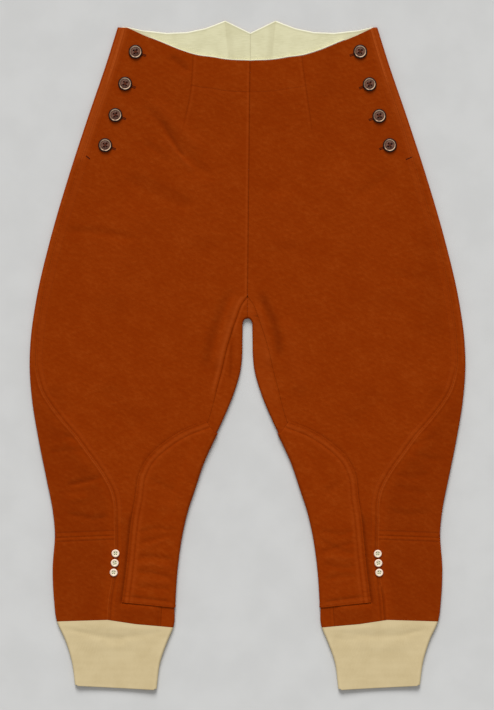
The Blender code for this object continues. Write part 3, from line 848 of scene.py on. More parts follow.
def border_level(name, across, down):
    """The upper level of the border outside the side seam, and the shade and light painted into it."""
    beside = (side_seam[name](down) - across) / slant(side_seam[name], down)
    knee = knee_sewing(across, down) * ease(-beside / 3)
    rise, painted_shading = side_marks(name, beside, down)
    # Light is painted along the rounded outer edge from the waist to the thigh.
    painted_edge_light = 0.22 * near(outer_edge(down) - across, 2.6, 2.2) * (1 - ease((down - 470) / 40))
    shade = BACK_SHADE * ease((down - 470) / 60) * ease(-beside / 20)
    painted_shading = painted_shading + knee - painted_edge_light + shade + soft_shade(name, across, down)
    return soft_level(name, across, down) + rise - 0.8 * knee, np.clip(painted_shading, -1, 1)


def outer_grid(name, levels):
    """From the side seam round the outer edge and under the leg to its inner end."""
    side = SIDES[name]
    seam = lambda down: side_seam[name](down) + SEAM_GAP / 2
    inside = lambda down: inner_turn(side, down)
    shares = np.linspace(0, 1, FLAP_COLUMNS) ** 1.8
    across, down = panel(side, levels, back_waist, seam, outer_turn, shares)
    level, painted_shading = border_level(name, across, down)
    flap = points(side, across, down, level)
    edge_down = down[:, -1:]
    angle = np.linspace(0, np.pi, TURN_STEPS + 1)[None, 1:-1]
    rim = np.full((len(levels), TURN_STEPS - 1), EDGE_LEVEL - FOLD_LEVEL)
    out = outer_turn(edge_down) + FOLD_RADIUS * np.sin(angle)
    turn = points(side, out, edge_down, FOLD_LEVEL + rim * np.cos(angle))
    lower = []
    for start, end, count in [(outer_turn, side_seam[name], 8), (side_seam[name], inside, LOWER_COLUMNS)]:
        shares = np.linspace(0, 1, count, endpoint=end is inside)
        lower.append(points(side, *panel(side, levels, back_waist, start, end, shares), LOWER_LEVEL))
    grid = np.concatenate([flap, turn] + lower, axis=1)
    shade = np.zeros(grid.shape[:2])
    shade[:, :FLAP_COLUMNS] = painted_shading
    # Underneath, shade is painted along the knee seam.
    under = MIDDLE_DOWN - grid[:, FLAP_COLUMNS:, 1] / MM
    shade[:, FLAP_COLUMNS:] = 0.8 * near(under, KNEE_SEAM, 0.9)
    return grid, shade


def strip_level(name, across, down):
    """The upper level of the strip inside the inseam, and the shade and light painted into it."""
    beside = (inseam(down) - across) / slant(inseam, down)
    depth = inseam_depth(name, down)
    # Light is painted beside the left inseam near the crotch; on the right, shade is painted at the row near
    # the hem, and the strip near the crotch is made lighter.
    if name == "left":
        marks = -0.3 * near(beside, 2.6, 1.6) * (1 - ease((down - INSEAM_FLAT_FROM) / 30))
    else:
        marks = 0.2 * near(beside, 5, 0.9) * (down > INSEAM_ROW_FROM)
        marks = marks - RIGHT_STRIP_LIGHTER * (1 - ease((down - 520) / 60)) * ease((beside - 1) / 3)
    painted_shading = depth * near(beside, 0, 1.3) + marks + knee_sewing(across, down)
    level = soft_level(name, across, down) - 0.5 * depth * near(beside, 0, 1.6)
    return level, np.clip(painted_shading + soft_shade(name, across, down), -1, 1)


def inner_grid(name, levels):
    """From the inner turn below, round it, and on to the inseam."""
    side = SIDES[name]
    inside = lambda down: inner_turn(side, down)
    seam = lambda down: inseam(down) - SEAM_GAP / 2
    across, down = panel(side, levels, back_waist, inside, inside, np.array([0.0]))
    way = arch_angle(down)
    angle = np.linspace(0, np.pi, TURN_STEPS + 1)[None, :-1]
    out = FOLD_RADIUS * np.sin(angle)
    turn = points(
        side, across - np.sin(way) * out, down + np.cos(way) * out, FOLD_LEVEL - FOLD_RADIUS * np.cos(angle)
    )
    shares = np.linspace(0, 1, INNER_COLUMNS)
    across, down = panel(side, levels, back_waist, inside, seam, shares)
    level, painted_shading = strip_level(name, across, down)
    grid = np.concatenate([turn, points(side, across, down, level)], axis=1)
    return grid, np.concatenate([np.zeros(turn.shape[:2]), painted_shading], axis=1)


def tongue_grid(name, levels):
    """The tip of the back on top, between the crotch and the arch, beside the middle seam."""
    side = SIDES[name]
    inside = lambda down: inner_turn(side, down)
    seam = lambda down: inseam(down) - SEAM_GAP / 2
    across, down = panel(side, levels, back_waist, inside, seam, np.linspace(0, 1, INNER_COLUMNS))
    level, painted_shading = strip_level(name, across, down)
    # Shade is painted along the middle seam as well.
    return points(side, across, down, level), np.clip(painted_shading + 0.25 * near(across, 0, 0.7), -1, 1)


ABOVE_KNEE = KNEE_SEAM - SEAM_GAP / 2
BELOW_KNEE = KNEE_SEAM + SEAM_GAP / 2
SEAT_LEVELS = rows_between(0, CROTCH_POINT, 3.6)
TIP_LEVELS = np.linspace(CROTCH_POINT, ARCH_TOP, 9)
ARCH_LEVELS = ARCH_FOOT - TURN_HEIGHT * np.cos(np.radians(np.linspace(0, 90, 11)))
THIGH_LEVELS = rows_between(ARCH_FOOT, ABOVE_KNEE, 3.4, [KNEE_SEAM - KNEE_ROW_ABOVE, ABOVE_KNEE])
LEG_LEVELS = np.concatenate([ARCH_LEVELS, THIGH_LEVELS[1:]])
CALF_LEVELS = rows_between(
    BELOW_KNEE, HEM_LEVEL, 3.4, [BELOW_KNEE, KNEE_SEAM + KNEE_ROW_BELOW, HEM_LEVEL]
)
for name in SIDES:
    body = outer_grid(name, np.concatenate([SEAT_LEVELS, TIP_LEVELS[1:], LEG_LEVELS[1:]]))
    inner = inner_grid(name, LEG_LEVELS)
    tongue = tongue_grid(name, TIP_LEVELS)
    add_cloth(f"back_{name}", [body, inner, tongue], [body, inner], CLOTH, RUST_CLOTH, "brushed_cotton", [])
    body, inner = outer_grid(name, CALF_LEVELS), inner_grid(name, CALF_LEVELS)
    add_cloth(f"calf_{name}", [body, inner], [body, inner], CLOTH, RUST_CLOTH, "brushed_cotton", [])

# %% [markdown]
# The front is the panel that everyone looks at. A dart takes in its waist, a row of stitches holds
# the facing inside it, and its side edge is felled: the cloth is folded under and sewn down twice,
# which leaves a flat ridge between two grooves. Its columns stand at fixed distances from these
# lines, so each groove has points of its own all the way down. Shade is painted into the colour
# along the grooves and light along the ridges beside them.

# %% Shape the front
FELL_ROWS = [3.1, 9.8]
FACING_ROW = 44.5
DART = {
    "left": [(40, 77.8), (65, 78.6), (94, 80.6), (166, 95.2)],
    "right": [(40, 77.1), (56, 78.5), (108, 85.7), (174, 95.3)],
}
DART_END = {"left": 166, "right": 174}
DART_SHARE = 0.41
DART_SPREAD = 70
SIDE_OFFSETS = [0, 0.6, 1.2, 1.8, 2.4, 3.1, 3.8, 4.6, 5.6, 6.6, 7.6, 8.6, 9.8, 11.4]
DART_OFFSETS = [3.2, 1.8, 0.8, 0, -0.8, -1.8, -3.2]
SEAM_OFFSETS = [10, 7.5, 5.5, 4, 2.8, 1.9, 1.2, 0.6, 0]
COLUMNS_BEFORE_DART = 40
COLUMNS_AFTER_DART = 36
LEFT_SEAM_RIDGE = 0.3
PATCH_EDGE = {
    "left": [
        (59.7, 572.5, 590), (91, 585, 608), (122, 605, 632), (144.6, 627, 656), (156, 650, 680),
        (161, 683, 709), (166.5, 713, 736), (169.5, 741, 761), (174, 785, 799), (180, 832.5, 839.7),
    ],
    "right": [
        (59.7, 572.5, 590), (91, 585, 608), (122, 605, 632), (144.2, 627, 656), (155.2, 650, 680),
        (159.5, 683, 709), (164, 713, 736), (166.6, 741, 761), (171, 785, 799), (177, 832.5, 839.7),
    ],
}
PATCH_SHADE_FROM = 700
PATCH_FOOT = [(114, 839.7), (180, 832.5)]
PATCH_SINK = 0.8
STRIP_SHADE = 0.13
HEM_SHADE = 0.2


patch_side = {
    name: smooth_curve([(down, across) for across, down, _ in rows]) for name, rows in PATCH_EDGE.items()
}
patch_foot = straight_curve(PATCH_FOOT)


def under_patch(name, across, down):
    """One under the knee patch, fading to nothing outside its edge and near the inseam."""
    outside = (across - patch_side[name](down)) / slant(patch_side[name], down)
    over = ease((down - PATCH_EDGE[name][0][1] + 3) / 30) * ease((patch_foot(across) + 2.5 - down) / 3)
    return over * ease((2.5 - outside) / 3) * ease((across - inseam(down) - 2) / 10)


def front_inside(side, down):
    return np.where(down < CROTCH_POINT, middle(side, down), inseam(down) + SEAM_GAP / 2)


def dart_line(name, down):
    """The dart, and below it the place that keeps its share of the panel's width."""
    side = SIDES[name]
    sewn = smooth_curve(DART[name])(down)
    inside = front_inside(side, down)
    below = inside + DART_SHARE * (side_seam[name](down) - inside)
    return mix(sewn, below, ease((down - DART_END[name]) / DART_SPREAD))


def front_columns(name, down):
    """Where each column of the front stands at each place down, as an array with a row of columns."""
    side = SIDES[name]
    spread = 1 + ease((down - DART_END[name]) / DART_SPREAD) * 0.8
    seam = side_seam[name]
    at_side = seam(down) - SEAM_GAP / 2 - np.array(SIDE_OFFSETS) * slant(seam, down)
    at_dart = dart_line(name, down) + np.array(DART_OFFSETS) * spread
    slope = np.where(down < CROTCH_POINT + 8, 1, slant(inseam, down))
    at_seam = front_inside(side, down) + np.array(SEAM_OFFSETS) * slope
    first = mix(at_side[..., -1:], at_dart[..., :1], np.linspace(0, 1, COLUMNS_BEFORE_DART)[1:-1])
    second = mix(at_dart[..., -1:], at_seam[..., :1], np.linspace(0, 1, COLUMNS_AFTER_DART)[1:-1])
    return np.concatenate([at_side, first, at_dart, second, at_seam], axis=-1)


def front_sewing(name, across, down):
    """What the sewing adds to the front's level, and the shade and light painted into its colour."""
    side = SIDES[name]
    rise, painted_shading = side_marks(name, (side_seam[name](down) - across) / slant(side_seam[name], down), down)
    outside = (across - patch_side[name](down)) / slant(patch_side[name], down)
    low = ease((down - PATCH_SHADE_FROM) / 16)
    over = (down > PATCH_EDGE[name][0][1]) * (down < PATCH_EDGE[name][-1][1] + 3)
    # Just outside the knee patch the front dips, and shade is painted there, most on its lower stretch.
    rise -= over * 0.4 * low * near(outside, 1.6, 2.0)
    painted_shading += over * mix(0.03, 0.32, low) * near(outside, mix(0.4, 1.6, low), mix(1.3, 2.3, low))
    rise -= PATCH_SINK * under_patch(name, across, down)
    painted_shading += STRIP_SHADE * low * ease(outside / 3)
    painted_shading += HEM_SHADE * ease((down - 838) / 8) * ease((3 - outside) / 3)
    at_middle = across - middle(side, down)
    at_inseam = (across - inseam(down)) / slant(inseam, down)
    above = down < CROTCH_POINT
    depth = np.where(above, 0.30, inseam_depth(name, down))
    inner = np.where(above, at_middle, at_inseam)
    rise -= np.where(above, 0.2 * near(inner, 0, 0.9), 0.6 * depth * near(inner, 0, 1.6))
    painted_shading += depth * near(inner, 0, np.where(above, 0.9, 1.3))
    if name == "left":
        rise += LEFT_SEAM_RIDGE * near(inner, 2.4, 1.3) * above
        painted_shading -= 0.25 * near(inner, 2.6, 1.3) * above
        painted_shading -= 0.4 * near(inner, 5.0, 2.6) * ~above * (1 - ease((down - INSEAM_FLAT_FROM) / 30))
        painted_shading += 0.14 * near(at_inseam, INSEAM_ROW, 0.9) * (down > INSEAM_ROW_FROM)
    from_dart = across - dart_line(name, down)
    dart = 1 - ease((down - DART_END[name] + 45) / 45)
    rise += dart * (0.25 * near(from_dart, -4, 3.0) - 0.2 * near(from_dart, 0, 1.0))
    painted_shading += dart * (0.3 * near(from_dart, 0, 0.9) - 0.14 * near(from_dart, -3.2, 1.6))
    below_waist = down - front_waist(across - side * lean(down))
    facing = (0.75 if name == "left" else 0.3) * ease((dart_line(name, down) + 3 - across) / 6)
    rise -= 0.25 * facing * near(below_waist, FACING_ROW, 0.9)
    painted_shading += facing * 0.25 * near(below_waist, FACING_ROW, 0.8)
    painted_shading -= facing * 0.12 * near(below_waist, FACING_ROW + 2.4, 1.2)
    return rise, painted_shading


def front_level(name, across, down):
    rise, painted_shading = front_sewing(name, across, down)
    level = above_lower(soft_level(name, across, down) + rise)
    return level, np.clip(painted_shading + soft_shade(name, across, down), -1, 1)


def front_grid(name):
    side = SIDES[name]
    levels = rows_between(0, HEM_LEVEL, 3.0, [0, FACING_ROW, HEM_LEVEL])[:, None]
    across = front_columns(name, levels)
    down = row_down(side, levels, across, front_waist)
    columns = range(across.shape[1])
    for _ in range(2):
        across = np.stack([front_columns(name, down[:, k:k + 1])[:, k] for k in columns], axis=1)
        down = row_down(side, levels, across, front_waist)
    level, painted_shading = front_level(name, across, down)
    return points(side, across, down, level), painted_shading


for name in SIDES:
    front = front_grid(name)
    below = [f"back_{name}_cloth", f"button_stand_{name}_cloth", f"facing_{name}_cloth"]
    add_cloth(f"front_{name}", [front], [front], CLOTH, RUST_CLOTH, "brushed_cotton", below)

# %% [markdown]
# Riding wears out the inner knee, so a second layer is sewn over it and turned round the edge of
# the leg. It is held by a row close to its edge and another 10 mm inside, which makes a flat
# border, and the cloth inside that border is crumpled across, like the back of a glove.

# %% Lay the knee patches
PATCH_LIFT = CLOTH + LAYER_GAP
PATCH_TURN_RADIUS = FOLD_RADIUS + PATCH_LIFT
PATCH_TURN_FOOT = -36
PATCH_ROWS = [2.8, 10.2]
PATCH_FOOT_ROWS = [2.1, 9.5]
PATCH_BOX_ROW = 17
PATCH_OFFSETS = [0, 0.7, 1.4, 2.1, 2.8, 3.5, 4.4, 5.5, 6.6, 7.8, 8.8, 9.5, 10.2, 10.9, 11.8, 13, 14.5]
PATCH_FOOT_CROWD = [18, 17, 16, 14, 11.5, 10.3, 9.5, 8.7, 7.5, 5.5, 4, 2.9, 2.1, 1.3, 0.7, 0]
PATCH_ROWS_END = 44
PATCH_CREASES = {
    "left": [
        {"line": [(162, 735), (146, 728), (132, 725), (98, 728)], "width": 2.0, "height": -0.42},
        {"line": [(162, 750), (146, 744), (132, 741), (100, 734)], "width": 2.0, "height": -0.34},
        {"line": [(162, 760), (140, 752), (104, 736)], "width": 2.2, "height": 0.3},
        {"line": [(162, 770), (146, 766), (134, 766), (102, 771)], "width": 2.4, "height": -0.6},
        {"line": [(162, 779), (136, 777), (104, 783)], "width": 2.6, "height": 0.4},
        {"line": [(163, 788), (148, 788), (134, 790), (102, 798)], "width": 2.4, "height": -0.6},
        {"line": [(162, 801), (136, 802), (104, 806)], "width": 2.8, "height": 0.3},
        {"line": [(160, 808), (136, 811), (104, 812)], "width": 2.4, "height": -0.4},
        {"line": [(140, 655), (118, 668), (100, 672)], "width": 5, "height": -0.35},
        {"line": [(130, 690), (100, 700)], "width": 7, "height": 0.3},
    ],
    "right": [
        {"line": [(158, 728), (134, 734), (100, 729)], "width": 2.4, "height": -0.4},
        {"line": [(158, 745), (130, 752), (100, 762)], "width": 2.4, "height": -0.45},
        {"line": [(160, 762), (136, 758), (102, 742)], "width": 2.2, "height": -0.4},
        {"line": [(158, 770), (132, 768), (104, 769)], "width": 3, "height": 0.35},
        {"line": [(161, 779), (138, 782), (104, 776)], "width": 2.4, "height": -0.45},
        {"line": [(160, 796), (138, 793), (106, 799)], "width": 2.6, "height": -0.4},
        {"line": [(134, 662), (110, 676)], "width": 6, "height": -0.35},
    ],
}


def patch_lines(name, count):
    """Rows of the patch as arrays of its edge's (across, down) and of how far down each meets the turn."""
    rows = np.array(PATCH_EDGE[name], float)
    run = np.concatenate([[0], np.cumsum(np.hypot(*np.diff(rows[:, :2], axis=0).T))])
    places = np.concatenate([np.linspace(0, run[-1] - 20, count), run[-1] - np.array(PATCH_FOOT_CROWD)])
    return [smooth_curve(list(zip(run, rows[:, k])))(places) for k in range(3)] + [run[-1] - places]


def patch_flat(name, across, down, from_edge, from_foot):
    """The level of the patch, and the shade and light painted into its colour at its rows and creases."""
    low = ease((down - PATCH_SHADE_FROM) / 16)
    painted_shading = mix(0.04, 0.15, low) * near(from_edge, 0, 1.4)
    painted_shading = painted_shading - 0.26 * near(from_edge, 6.6, 2.0) - mix(0.12, 0.2, low) * near(from_edge, 13.6, 2.4)
    rise = 0.25 * near(from_edge, 6.6, 2.6)
    for row, depth in zip(PATCH_ROWS, (mix(0.05, 0.24, low), 0.16)):
        painted_shading = painted_shading + depth * near(from_edge, row, 0.9)
        rise = rise - 0.15 * near(from_edge, row, 0.9)
    box = near(from_foot, PATCH_BOX_ROW, 0.9) * (from_edge > 2.4) * (from_edge < 10.6)
    painted_shading = painted_shading - 0.04 * near(from_foot, 0, 1.0) - 0.15 * near(from_foot, 5, 2.2) + 0.2 * box
    for row, depth in zip(PATCH_FOOT_ROWS, (0.13, 0.14)):
        painted_shading = painted_shading + depth * near(from_foot, row, 0.9)
        rise = rise - 0.15 * near(from_foot, row, 0.9)
    inside = ease((from_edge - 10) / 4) * ease((from_foot - 10) / 4)
    rise = rise + (crease_rise(PATCH_CREASES[name], across, down) + mix(0.45, 0.8, low)) * inside
    rise = rise - PATCH_SINK * under_patch(name, across, down)
    # Each crease paints shade into its trough and light onto its ridge.
    painted_shading = painted_shading - CREASE_SHADE * crease_rise(PATCH_CREASES[name], across, down, steep=True) * inside
    return level_at(across, down) + PATCH_LIFT + rise, np.clip(painted_shading, -1, 1)


def patch_grid(name):
    side = SIDES[name]
    edge_across, edge_down, down_inside, to_foot = [row[:, None] for row in patch_lines(name, 92)]
    turn = inner_turn(side, down_inside)
    run = np.hypot(edge_across - turn, down_inside - edge_down)
    cosine = (edge_across - turn) / run
    edge_slope = np.gradient(edge_across[:, 0], edge_down[:, 0])[:, None]
    square = np.abs(cosine - (down_inside - edge_down) / run * -edge_slope) / np.hypot(1, edge_slope)
    offsets = np.array(PATCH_OFFSETS)[None, :] / np.maximum(square, 0.4) / run
    offsets = offsets * np.minimum(1, 0.6 / offsets[:, -1:])
    inner = mix(offsets[:, -1:], 1, np.linspace(0, 1, 30)[None, 1:])
    shares = np.concatenate([offsets, inner], axis=1)
    across = mix(edge_across, turn, shares)
    down = mix(edge_down, down_inside, shares)
    from_edge = shares * run * square
    fade = 1 - ease((shares - 0.85) / 0.15)
    level, painted_shading = patch_flat(name, across, down, from_edge, to_foot + 0 * across)
    flat_level = level_at(across, down) + PATCH_LIFT
    flat = points(side, across, down, mix(flat_level, level, fade))
    angle = np.radians(np.linspace(90, PATCH_TURN_FOOT, 13))[None, 1:]
    rounded = points(
        side, turn - PATCH_TURN_RADIUS * np.cos(angle), down_inside,
        FOLD_LEVEL + PATCH_TURN_RADIUS * np.sin(angle),
    )
    grid = np.concatenate([flat, rounded], axis=1)
    return grid, np.concatenate([painted_shading, np.zeros(rounded.shape[:2])], axis=1)


for name in SIDES:
    patch = patch_grid(name)
    below = [f"front_{name}_cloth", f"back_{name}_cloth", f"calf_{name}_cloth"]
    add_cloth(f"knee_patch_{name}", [patch], [patch], CLOTH, RUST_CLOTH, "brushed_cotton", below)

# %% [markdown]
# Three small cloths make the waist: the cream lining that shows above the front, the facing that
# edges it with a pale line, and the rust strip behind the buttons. The lining has a seam in the
# middle and a dart under each peak, which pull it in a little. The pale line is light painted on
# the facing's folded top, and the lining has shade painted at its seam and darts.

# %% Line the waist
LINING_SIDES_AT = 20
LINING_INSET = 6
LINING_BELOW_FRONT = 30
LINING_PROUD = 0.8
LINING_DART = 36
LINING_DART_SLANT = 0.12
FACING_SIDES_AT = 50
FACING_PROUD = 1.7
FACING_ROLL = 1.1
FACING_DEPTH = 10
FACING_REACH = 139
STAND_WIDTH = 38
STAND_END = 200
LINING_ROW = 2.5


def lining_grid(name):
    side = SIDES[name]
    lean_here = side * lean(LINING_SIDES_AT)
    outside = outer_turn(LINING_SIDES_AT) - LINING_INSET - lean_here
    knots = [place for place, _ in BACK_WAIST if SEAM_GAP / 2 < place < outside]
    crowd = [LINING_DART + offset for offset in CROWD] + [0.5, 1.1, 1.8]
    from_middle = np.concatenate([np.linspace(SEAM_GAP / 2, outside, 80), knots, crowd])
    from_middle = np.unique(from_middle)[None, ::-1]
    shares = np.unique(np.concatenate([np.linspace(0, 1, 34), [0.008, 0.018, 0.04]]))[:, None]
    top = back_waist(from_middle) - LINING_PROUD
    foot = front_waist(from_middle) + LINING_BELOW_FRONT
    down = mix(top, foot, shares)
    below = down - top
    tuck = from_middle - LINING_DART + LINING_DART_SLANT * below
    # Shade is painted at the middle seam, along each dart and beside it, and at the row of stitches, and
    # light along the top edge.
    painted_shading = 0.18 * near(from_middle, 0, 0.9) + 0.16 * near(tuck, 0, 1.2) + 0.22 * near(tuck, -4, 5)
    painted_shading = painted_shading + 0.2 * near(below, LINING_ROW, 0.6) - 0.9 * near(below, 0.4, 1.0)
    rise = 0.25 * near(below, 0.8, 1.2) - 0.2 * near(tuck, 0, 1.5) + 0.25 * near(tuck, 5, 4)
    level = CLOTH + LAYER_GAP + LINING / 2 + 0.1 + rise * (below > 0.3)
    return points(side, from_middle + lean_here, down, level), np.clip(painted_shading, -1, 1)


def facing_grid(name):
    side = SIDES[name]
    across = np.linspace(FACING_REACH, middle(side, FACING_SIDES_AT), 60)[None, :]
    drop = np.concatenate([np.linspace(-FACING_PROUD, 0.5, 7), np.linspace(1.5, FACING_DEPTH, 6)])[:, None]
    down = front_waist(across - side * lean(FACING_SIDES_AT)) + drop
    level = level_at(across, down) - CLOTH / 2 - LAYER_GAP - LINING / 2
    level = level + FACING_ROLL * ease((-drop - 0.4) / 0.8)
    # Light is painted on the facing's folded top.
    return points(side, across, down, level), -1.0 * ease((0.5 - drop) / 1.0) + 0 * across


def stand_grid(name):
    side = SIDES[name]
    inset = np.linspace(STAND_WIDTH, LAYER_GAP, 14)[None, :]
    levels = rows_between(1, STAND_END, 4)[:, None]
    across = side_seam[name](levels) - inset
    down = row_down(side, levels, across, front_waist)
    across = side_seam[name](down) - inset
    level = level_at(across, down) - CLOTH / 2 - LAYER_GAP - LINING / 2
    return points(side, across, down, level), 0.0


for name in SIDES:
    for piece, grid, material, slot, below in [
        ("lining", lining_grid(name), CREAM_CLOTH, "cotton_lining", "back"),
        ("facing", facing_grid(name), CREAM_CLOTH, "cotton_lining", "lining"),
        ("button_stand", stand_grid(name), RUST_CLOTH, "brushed_cotton", "back"),
    ]:
        add_cloth(f"{piece}_{name}", [grid], [grid], LINING, material, slot, [f"{below}_{name}_cloth"])

# %% [markdown]
# A knitted cuff is a tube, so its sheet goes all the way round. The ribs are real: the wall rises
# and falls with each of them, and they fade where the knit is folded at the edges. A soft crease
# crosses just under the seam, where the stiffer cloth above ends. Shade is painted in the valleys
# of the ribs, at the seam and along the crease, and light just under the seam.

# %% Knit the cuffs
CUFF_FOOT_OUTER = 952
CUFF_FOOT_INNER = 957.8
CUFF_WIDTH = 140
RIB_PITCH = 2.3
RIB_STEPS = 4
RIB_RISE = 0.065
CUFF_CORNER = 1.4
CUFF_CREASES = {
    "left": [
        {"line": [(268, 868), (240, 875), (215, 880), (183, 882), (140, 878), (112, 874)],
         "width": 2.6, "height": -0.4},
        {"line": [(206, 884), (190, 888), (172, 886)], "width": 4.5, "height": -0.35},
        {"line": [(250, 884), (200, 896), (150, 889)], "width": 7, "height": 0.2},
        {"line": [(236, 864), (190, 868), (150, 872)], "width": 4, "height": 0.25},
    ],
    "right": [
        {"line": [(262, 870), (220, 879), (176, 880), (118, 876)], "width": 2.8, "height": -0.4},
        {"line": [(160, 884), (140, 886), (122, 884)], "width": 4, "height": -0.25},
        {"line": [(246, 888), (190, 896), (146, 888)], "width": 7, "height": 0.2},
        {"line": [(240, 862), (196, 868), (150, 870)], "width": 4, "height": 0.25},
    ],
}


def cuff_place(side, share_across, share_down, out=0.0):
    """The (across, down) of places on the cuff: out is how far beyond its turning line they lie."""
    outer, inner = outer_turn(HEM_LEVEL), inner_edge(HEM_LEVEL) + FOLD_RADIUS
    across = mix(outer, inner, share_across)
    top = HEM_LEVEL + hem_dip(across) + SEAM_GAP
    near_side = np.clip(1 - np.minimum(share_across, 1 - share_across) * CUFF_WIDTH / CUFF_CORNER, 0, 1)
    foot = mix(CUFF_FOOT_OUTER, CUFF_FOOT_INNER, share_across) - CUFF_CORNER * (1 - np.sqrt(1 - near_side**2))
    down = mix(top, foot, share_down)
    return mix(outer_turn(down), inner_edge(down) + FOLD_RADIUS, share_across) + out, down


cuff_bend = smooth_curve([(112, 878), (165, 882), (200, 880), (268, 866)])


def cuff_grid(name):
    side = SIDES[name]
    lower = KNIT / 2
    radius = FOLD_LEVEL - lower
    ribs = round(CUFF_WIDTH / RIB_PITCH)
    rows = np.unique(np.concatenate([np.linspace(0, 1, 30), [0.01, 0.02, 0.975, 0.985]]))[:, None]
    shares = np.linspace(0, 1, ribs * RIB_STEPS + 1)[None, :]
    across, down = cuff_place(side, shares, rows)
    rim = np.exp(-np.minimum(shares, 1 - shares) * CUFF_WIDTH / EDGE_SOFTNESS)
    wave = np.cos(2 * np.pi * shares * ribs)
    edge_fade = ease(np.minimum(shares, 1 - shares) * 25)
    level = mix(MIDDLE_LEVEL + KNIT - CLOTH, FOLD_LEVEL + radius, rim) + RIB_RISE * wave * edge_fade
    level = level + crease_rise(CUFF_CREASES[name], across, down) * edge_fade * ease((down - HEM_LEVEL) / 12)
    above = points(side, across, down, level)
    back_shares = np.linspace(1, 0, 61)[None, :]
    below = points(side, *cuff_place(side, back_shares, rows), lower)
    angle = np.linspace(0, np.pi, TURN_STEPS + 1)[None, 1:-1]
    out = radius * np.sin(angle)
    rise = radius * np.cos(angle)
    inner = points(side, *cuff_place(side, 1.0 + 0 * angle, rows, -out), FOLD_LEVEL + rise)
    outer = points(side, *cuff_place(side, 0.0 * angle, rows, out), FOLD_LEVEL - rise)
    grid = np.concatenate([above, inner, below, outer, above[:, :1]], axis=1)
    shade = np.zeros(grid.shape[:2])
    # Shade is painted in the valleys of the ribs and at the seam, light just under the seam, and shade along
    # the crease.
    painted_knit_shading = 0.06 * (1 - wave) * edge_fade + 0.3 * near(rows, 0, 0.008) - 0.5 * near(rows, 0.03, 0.015)
    shade[:, :shares.size] = painted_knit_shading + 0.12 * near(down, cuff_bend(across), 3.5)
    return grid, shade


for name in SIDES:
    cuff = cuff_grid(name)
    add_cloth(f"cuff_{name}", [cuff], [cuff], KNIT, KNIT_CLOTH, "knit", [])

# %% [markdown]
# Stitches are what a machine leaves every 3 mm: a short length of thread, plump in the middle and
# pulled into the cloth at both ends. One small spindle is copied along each row, all of them in
# one mesh, and each takes its height from the cloth below it.

# %% Sew rows of stitches
STITCH_PITCH = 3.0
STITCH_LENGTH = 2.5
STITCH_WIDTH = 0.5
STITCH_HEIGHT = 0.34
STITCH_SINK = 0.05
DART_AT_FACING = 94
FACING_DOWN = 100
SPINDLE = [(-1, 0.0), (-0.72, 0.72), (0, 1.0), (0.72, 0.72), (1, 0.0)]
SPINDLE_SIDES = 6


def spindle():
    """A unit stitch: its points as (along, beside, up), and its faces."""
    ring = np.arange(SPINDLE_SIDES) * 2 * np.pi / SPINDLE_SIDES
    rounds = [
        [(along, thick * math.cos(a), thick * math.sin(a)) for a in ring] for along, thick in SPINDLE[1:-1]
    ]
    verts = [(SPINDLE[0][0], 0, 0)] + sum(rounds, []) + [(SPINDLE[-1][0], 0, 0)]
    last = len(verts) - 1
    faces = []
    for k in range(SPINDLE_SIDES):
        n = (k + 1) % SPINDLE_SIDES
        faces.append((0, 1 + n, 1 + k, 1 + k))
        for r in range(len(rounds) - 1):
            a = 1 + r * SPINDLE_SIDES
            faces.append((a + k, a + n, a + SPINDLE_SIDES + n, a + SPINDLE_SIDES + k))
        a = 1 + (len(rounds) - 1) * SPINDLE_SIDES
        faces.append((a + k, a + n, last, last))
    return np.array(verts, float), faces


SPINDLE_POINTS, SPINDLE_FACES = spindle()


def stitch_mesh(name, starts, ends, width=STITCH_WIDTH, height=STITCH_HEIGHT):
    """Stitches from arrays of their two ends, in metres, lying on the cloth."""
    run = ends - starts
    length = np.linalg.norm(run, axis=1, keepdims=True)
    along = run / length
    beside = np.cross([0.0, 0.0, 1.0], along)
    beside /= np.linalg.norm(beside, axis=1, keepdims=True)
    up = np.cross(along, beside)
    u, v, w = SPINDLE_POINTS.T
    centre = ((starts + ends) / 2)[:, None, :]
    verts = (
        centre + (along * length / 2)[:, None, :] * u[None, :, None]
        + beside[:, None, :] * v[None, :, None] * width * MM / 2
        + up[:, None, :] * w[None, :, None] * height * MM / 2
    ).reshape(-1, 3)
    faces = []
    for k in range(len(starts)):
        base = k * len(SPINDLE_POINTS)
        faces += [tuple(dict.fromkeys(base + corner for corner in face)) for face in SPINDLE_FACES]
    mesh = bpy.data.meshes.new(name)
    mesh.from_pydata(verts.tolist(), [], faces)
    mesh.shade_smooth()
    return mesh


def along_row(row):
    """The two ends of each stitch on a dense row of points."""
    steps = np.linalg.norm(np.diff(row, axis=0), axis=1) / MM
    run = np.concatenate([[0], np.cumsum(steps)])
    starts = np.arange(0, run[-1] - STITCH_LENGTH, STITCH_PITCH)
    read = lambda place: np.stack([np.interp(place, run, row[:, k]) for k in range(3)], axis=1)
    return read(starts), read(starts + STITCH_LENGTH)


def row_on(name, level, across, down, sink=STITCH_SINK):
    """A row of points on top of a cloth."""
    across, down = np.broadcast_arrays(across, down)
    height = level(name, across, down)[0] + CLOTH / 2 - sink
    return points(SIDES[name], across, down, height)


def add_stitches(piece, mesh, material):
    """A piece of sewing, which goes where the garment goes."""
    made = add_object(piece, mesh, material)
    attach(made, "root")


def sew(piece, rows):
    """One mesh for all the rows of stitches on a piece."""
    ends = [along_row(row) for row in rows]
    starts = np.concatenate([first for first, _ in ends])
    stops = np.concatenate([second for _, second in ends])
    add_stitches(piece, stitch_mesh(piece, starts, stops), RUST_THREAD)
    print(f"{piece}: {len(starts)} stitches")


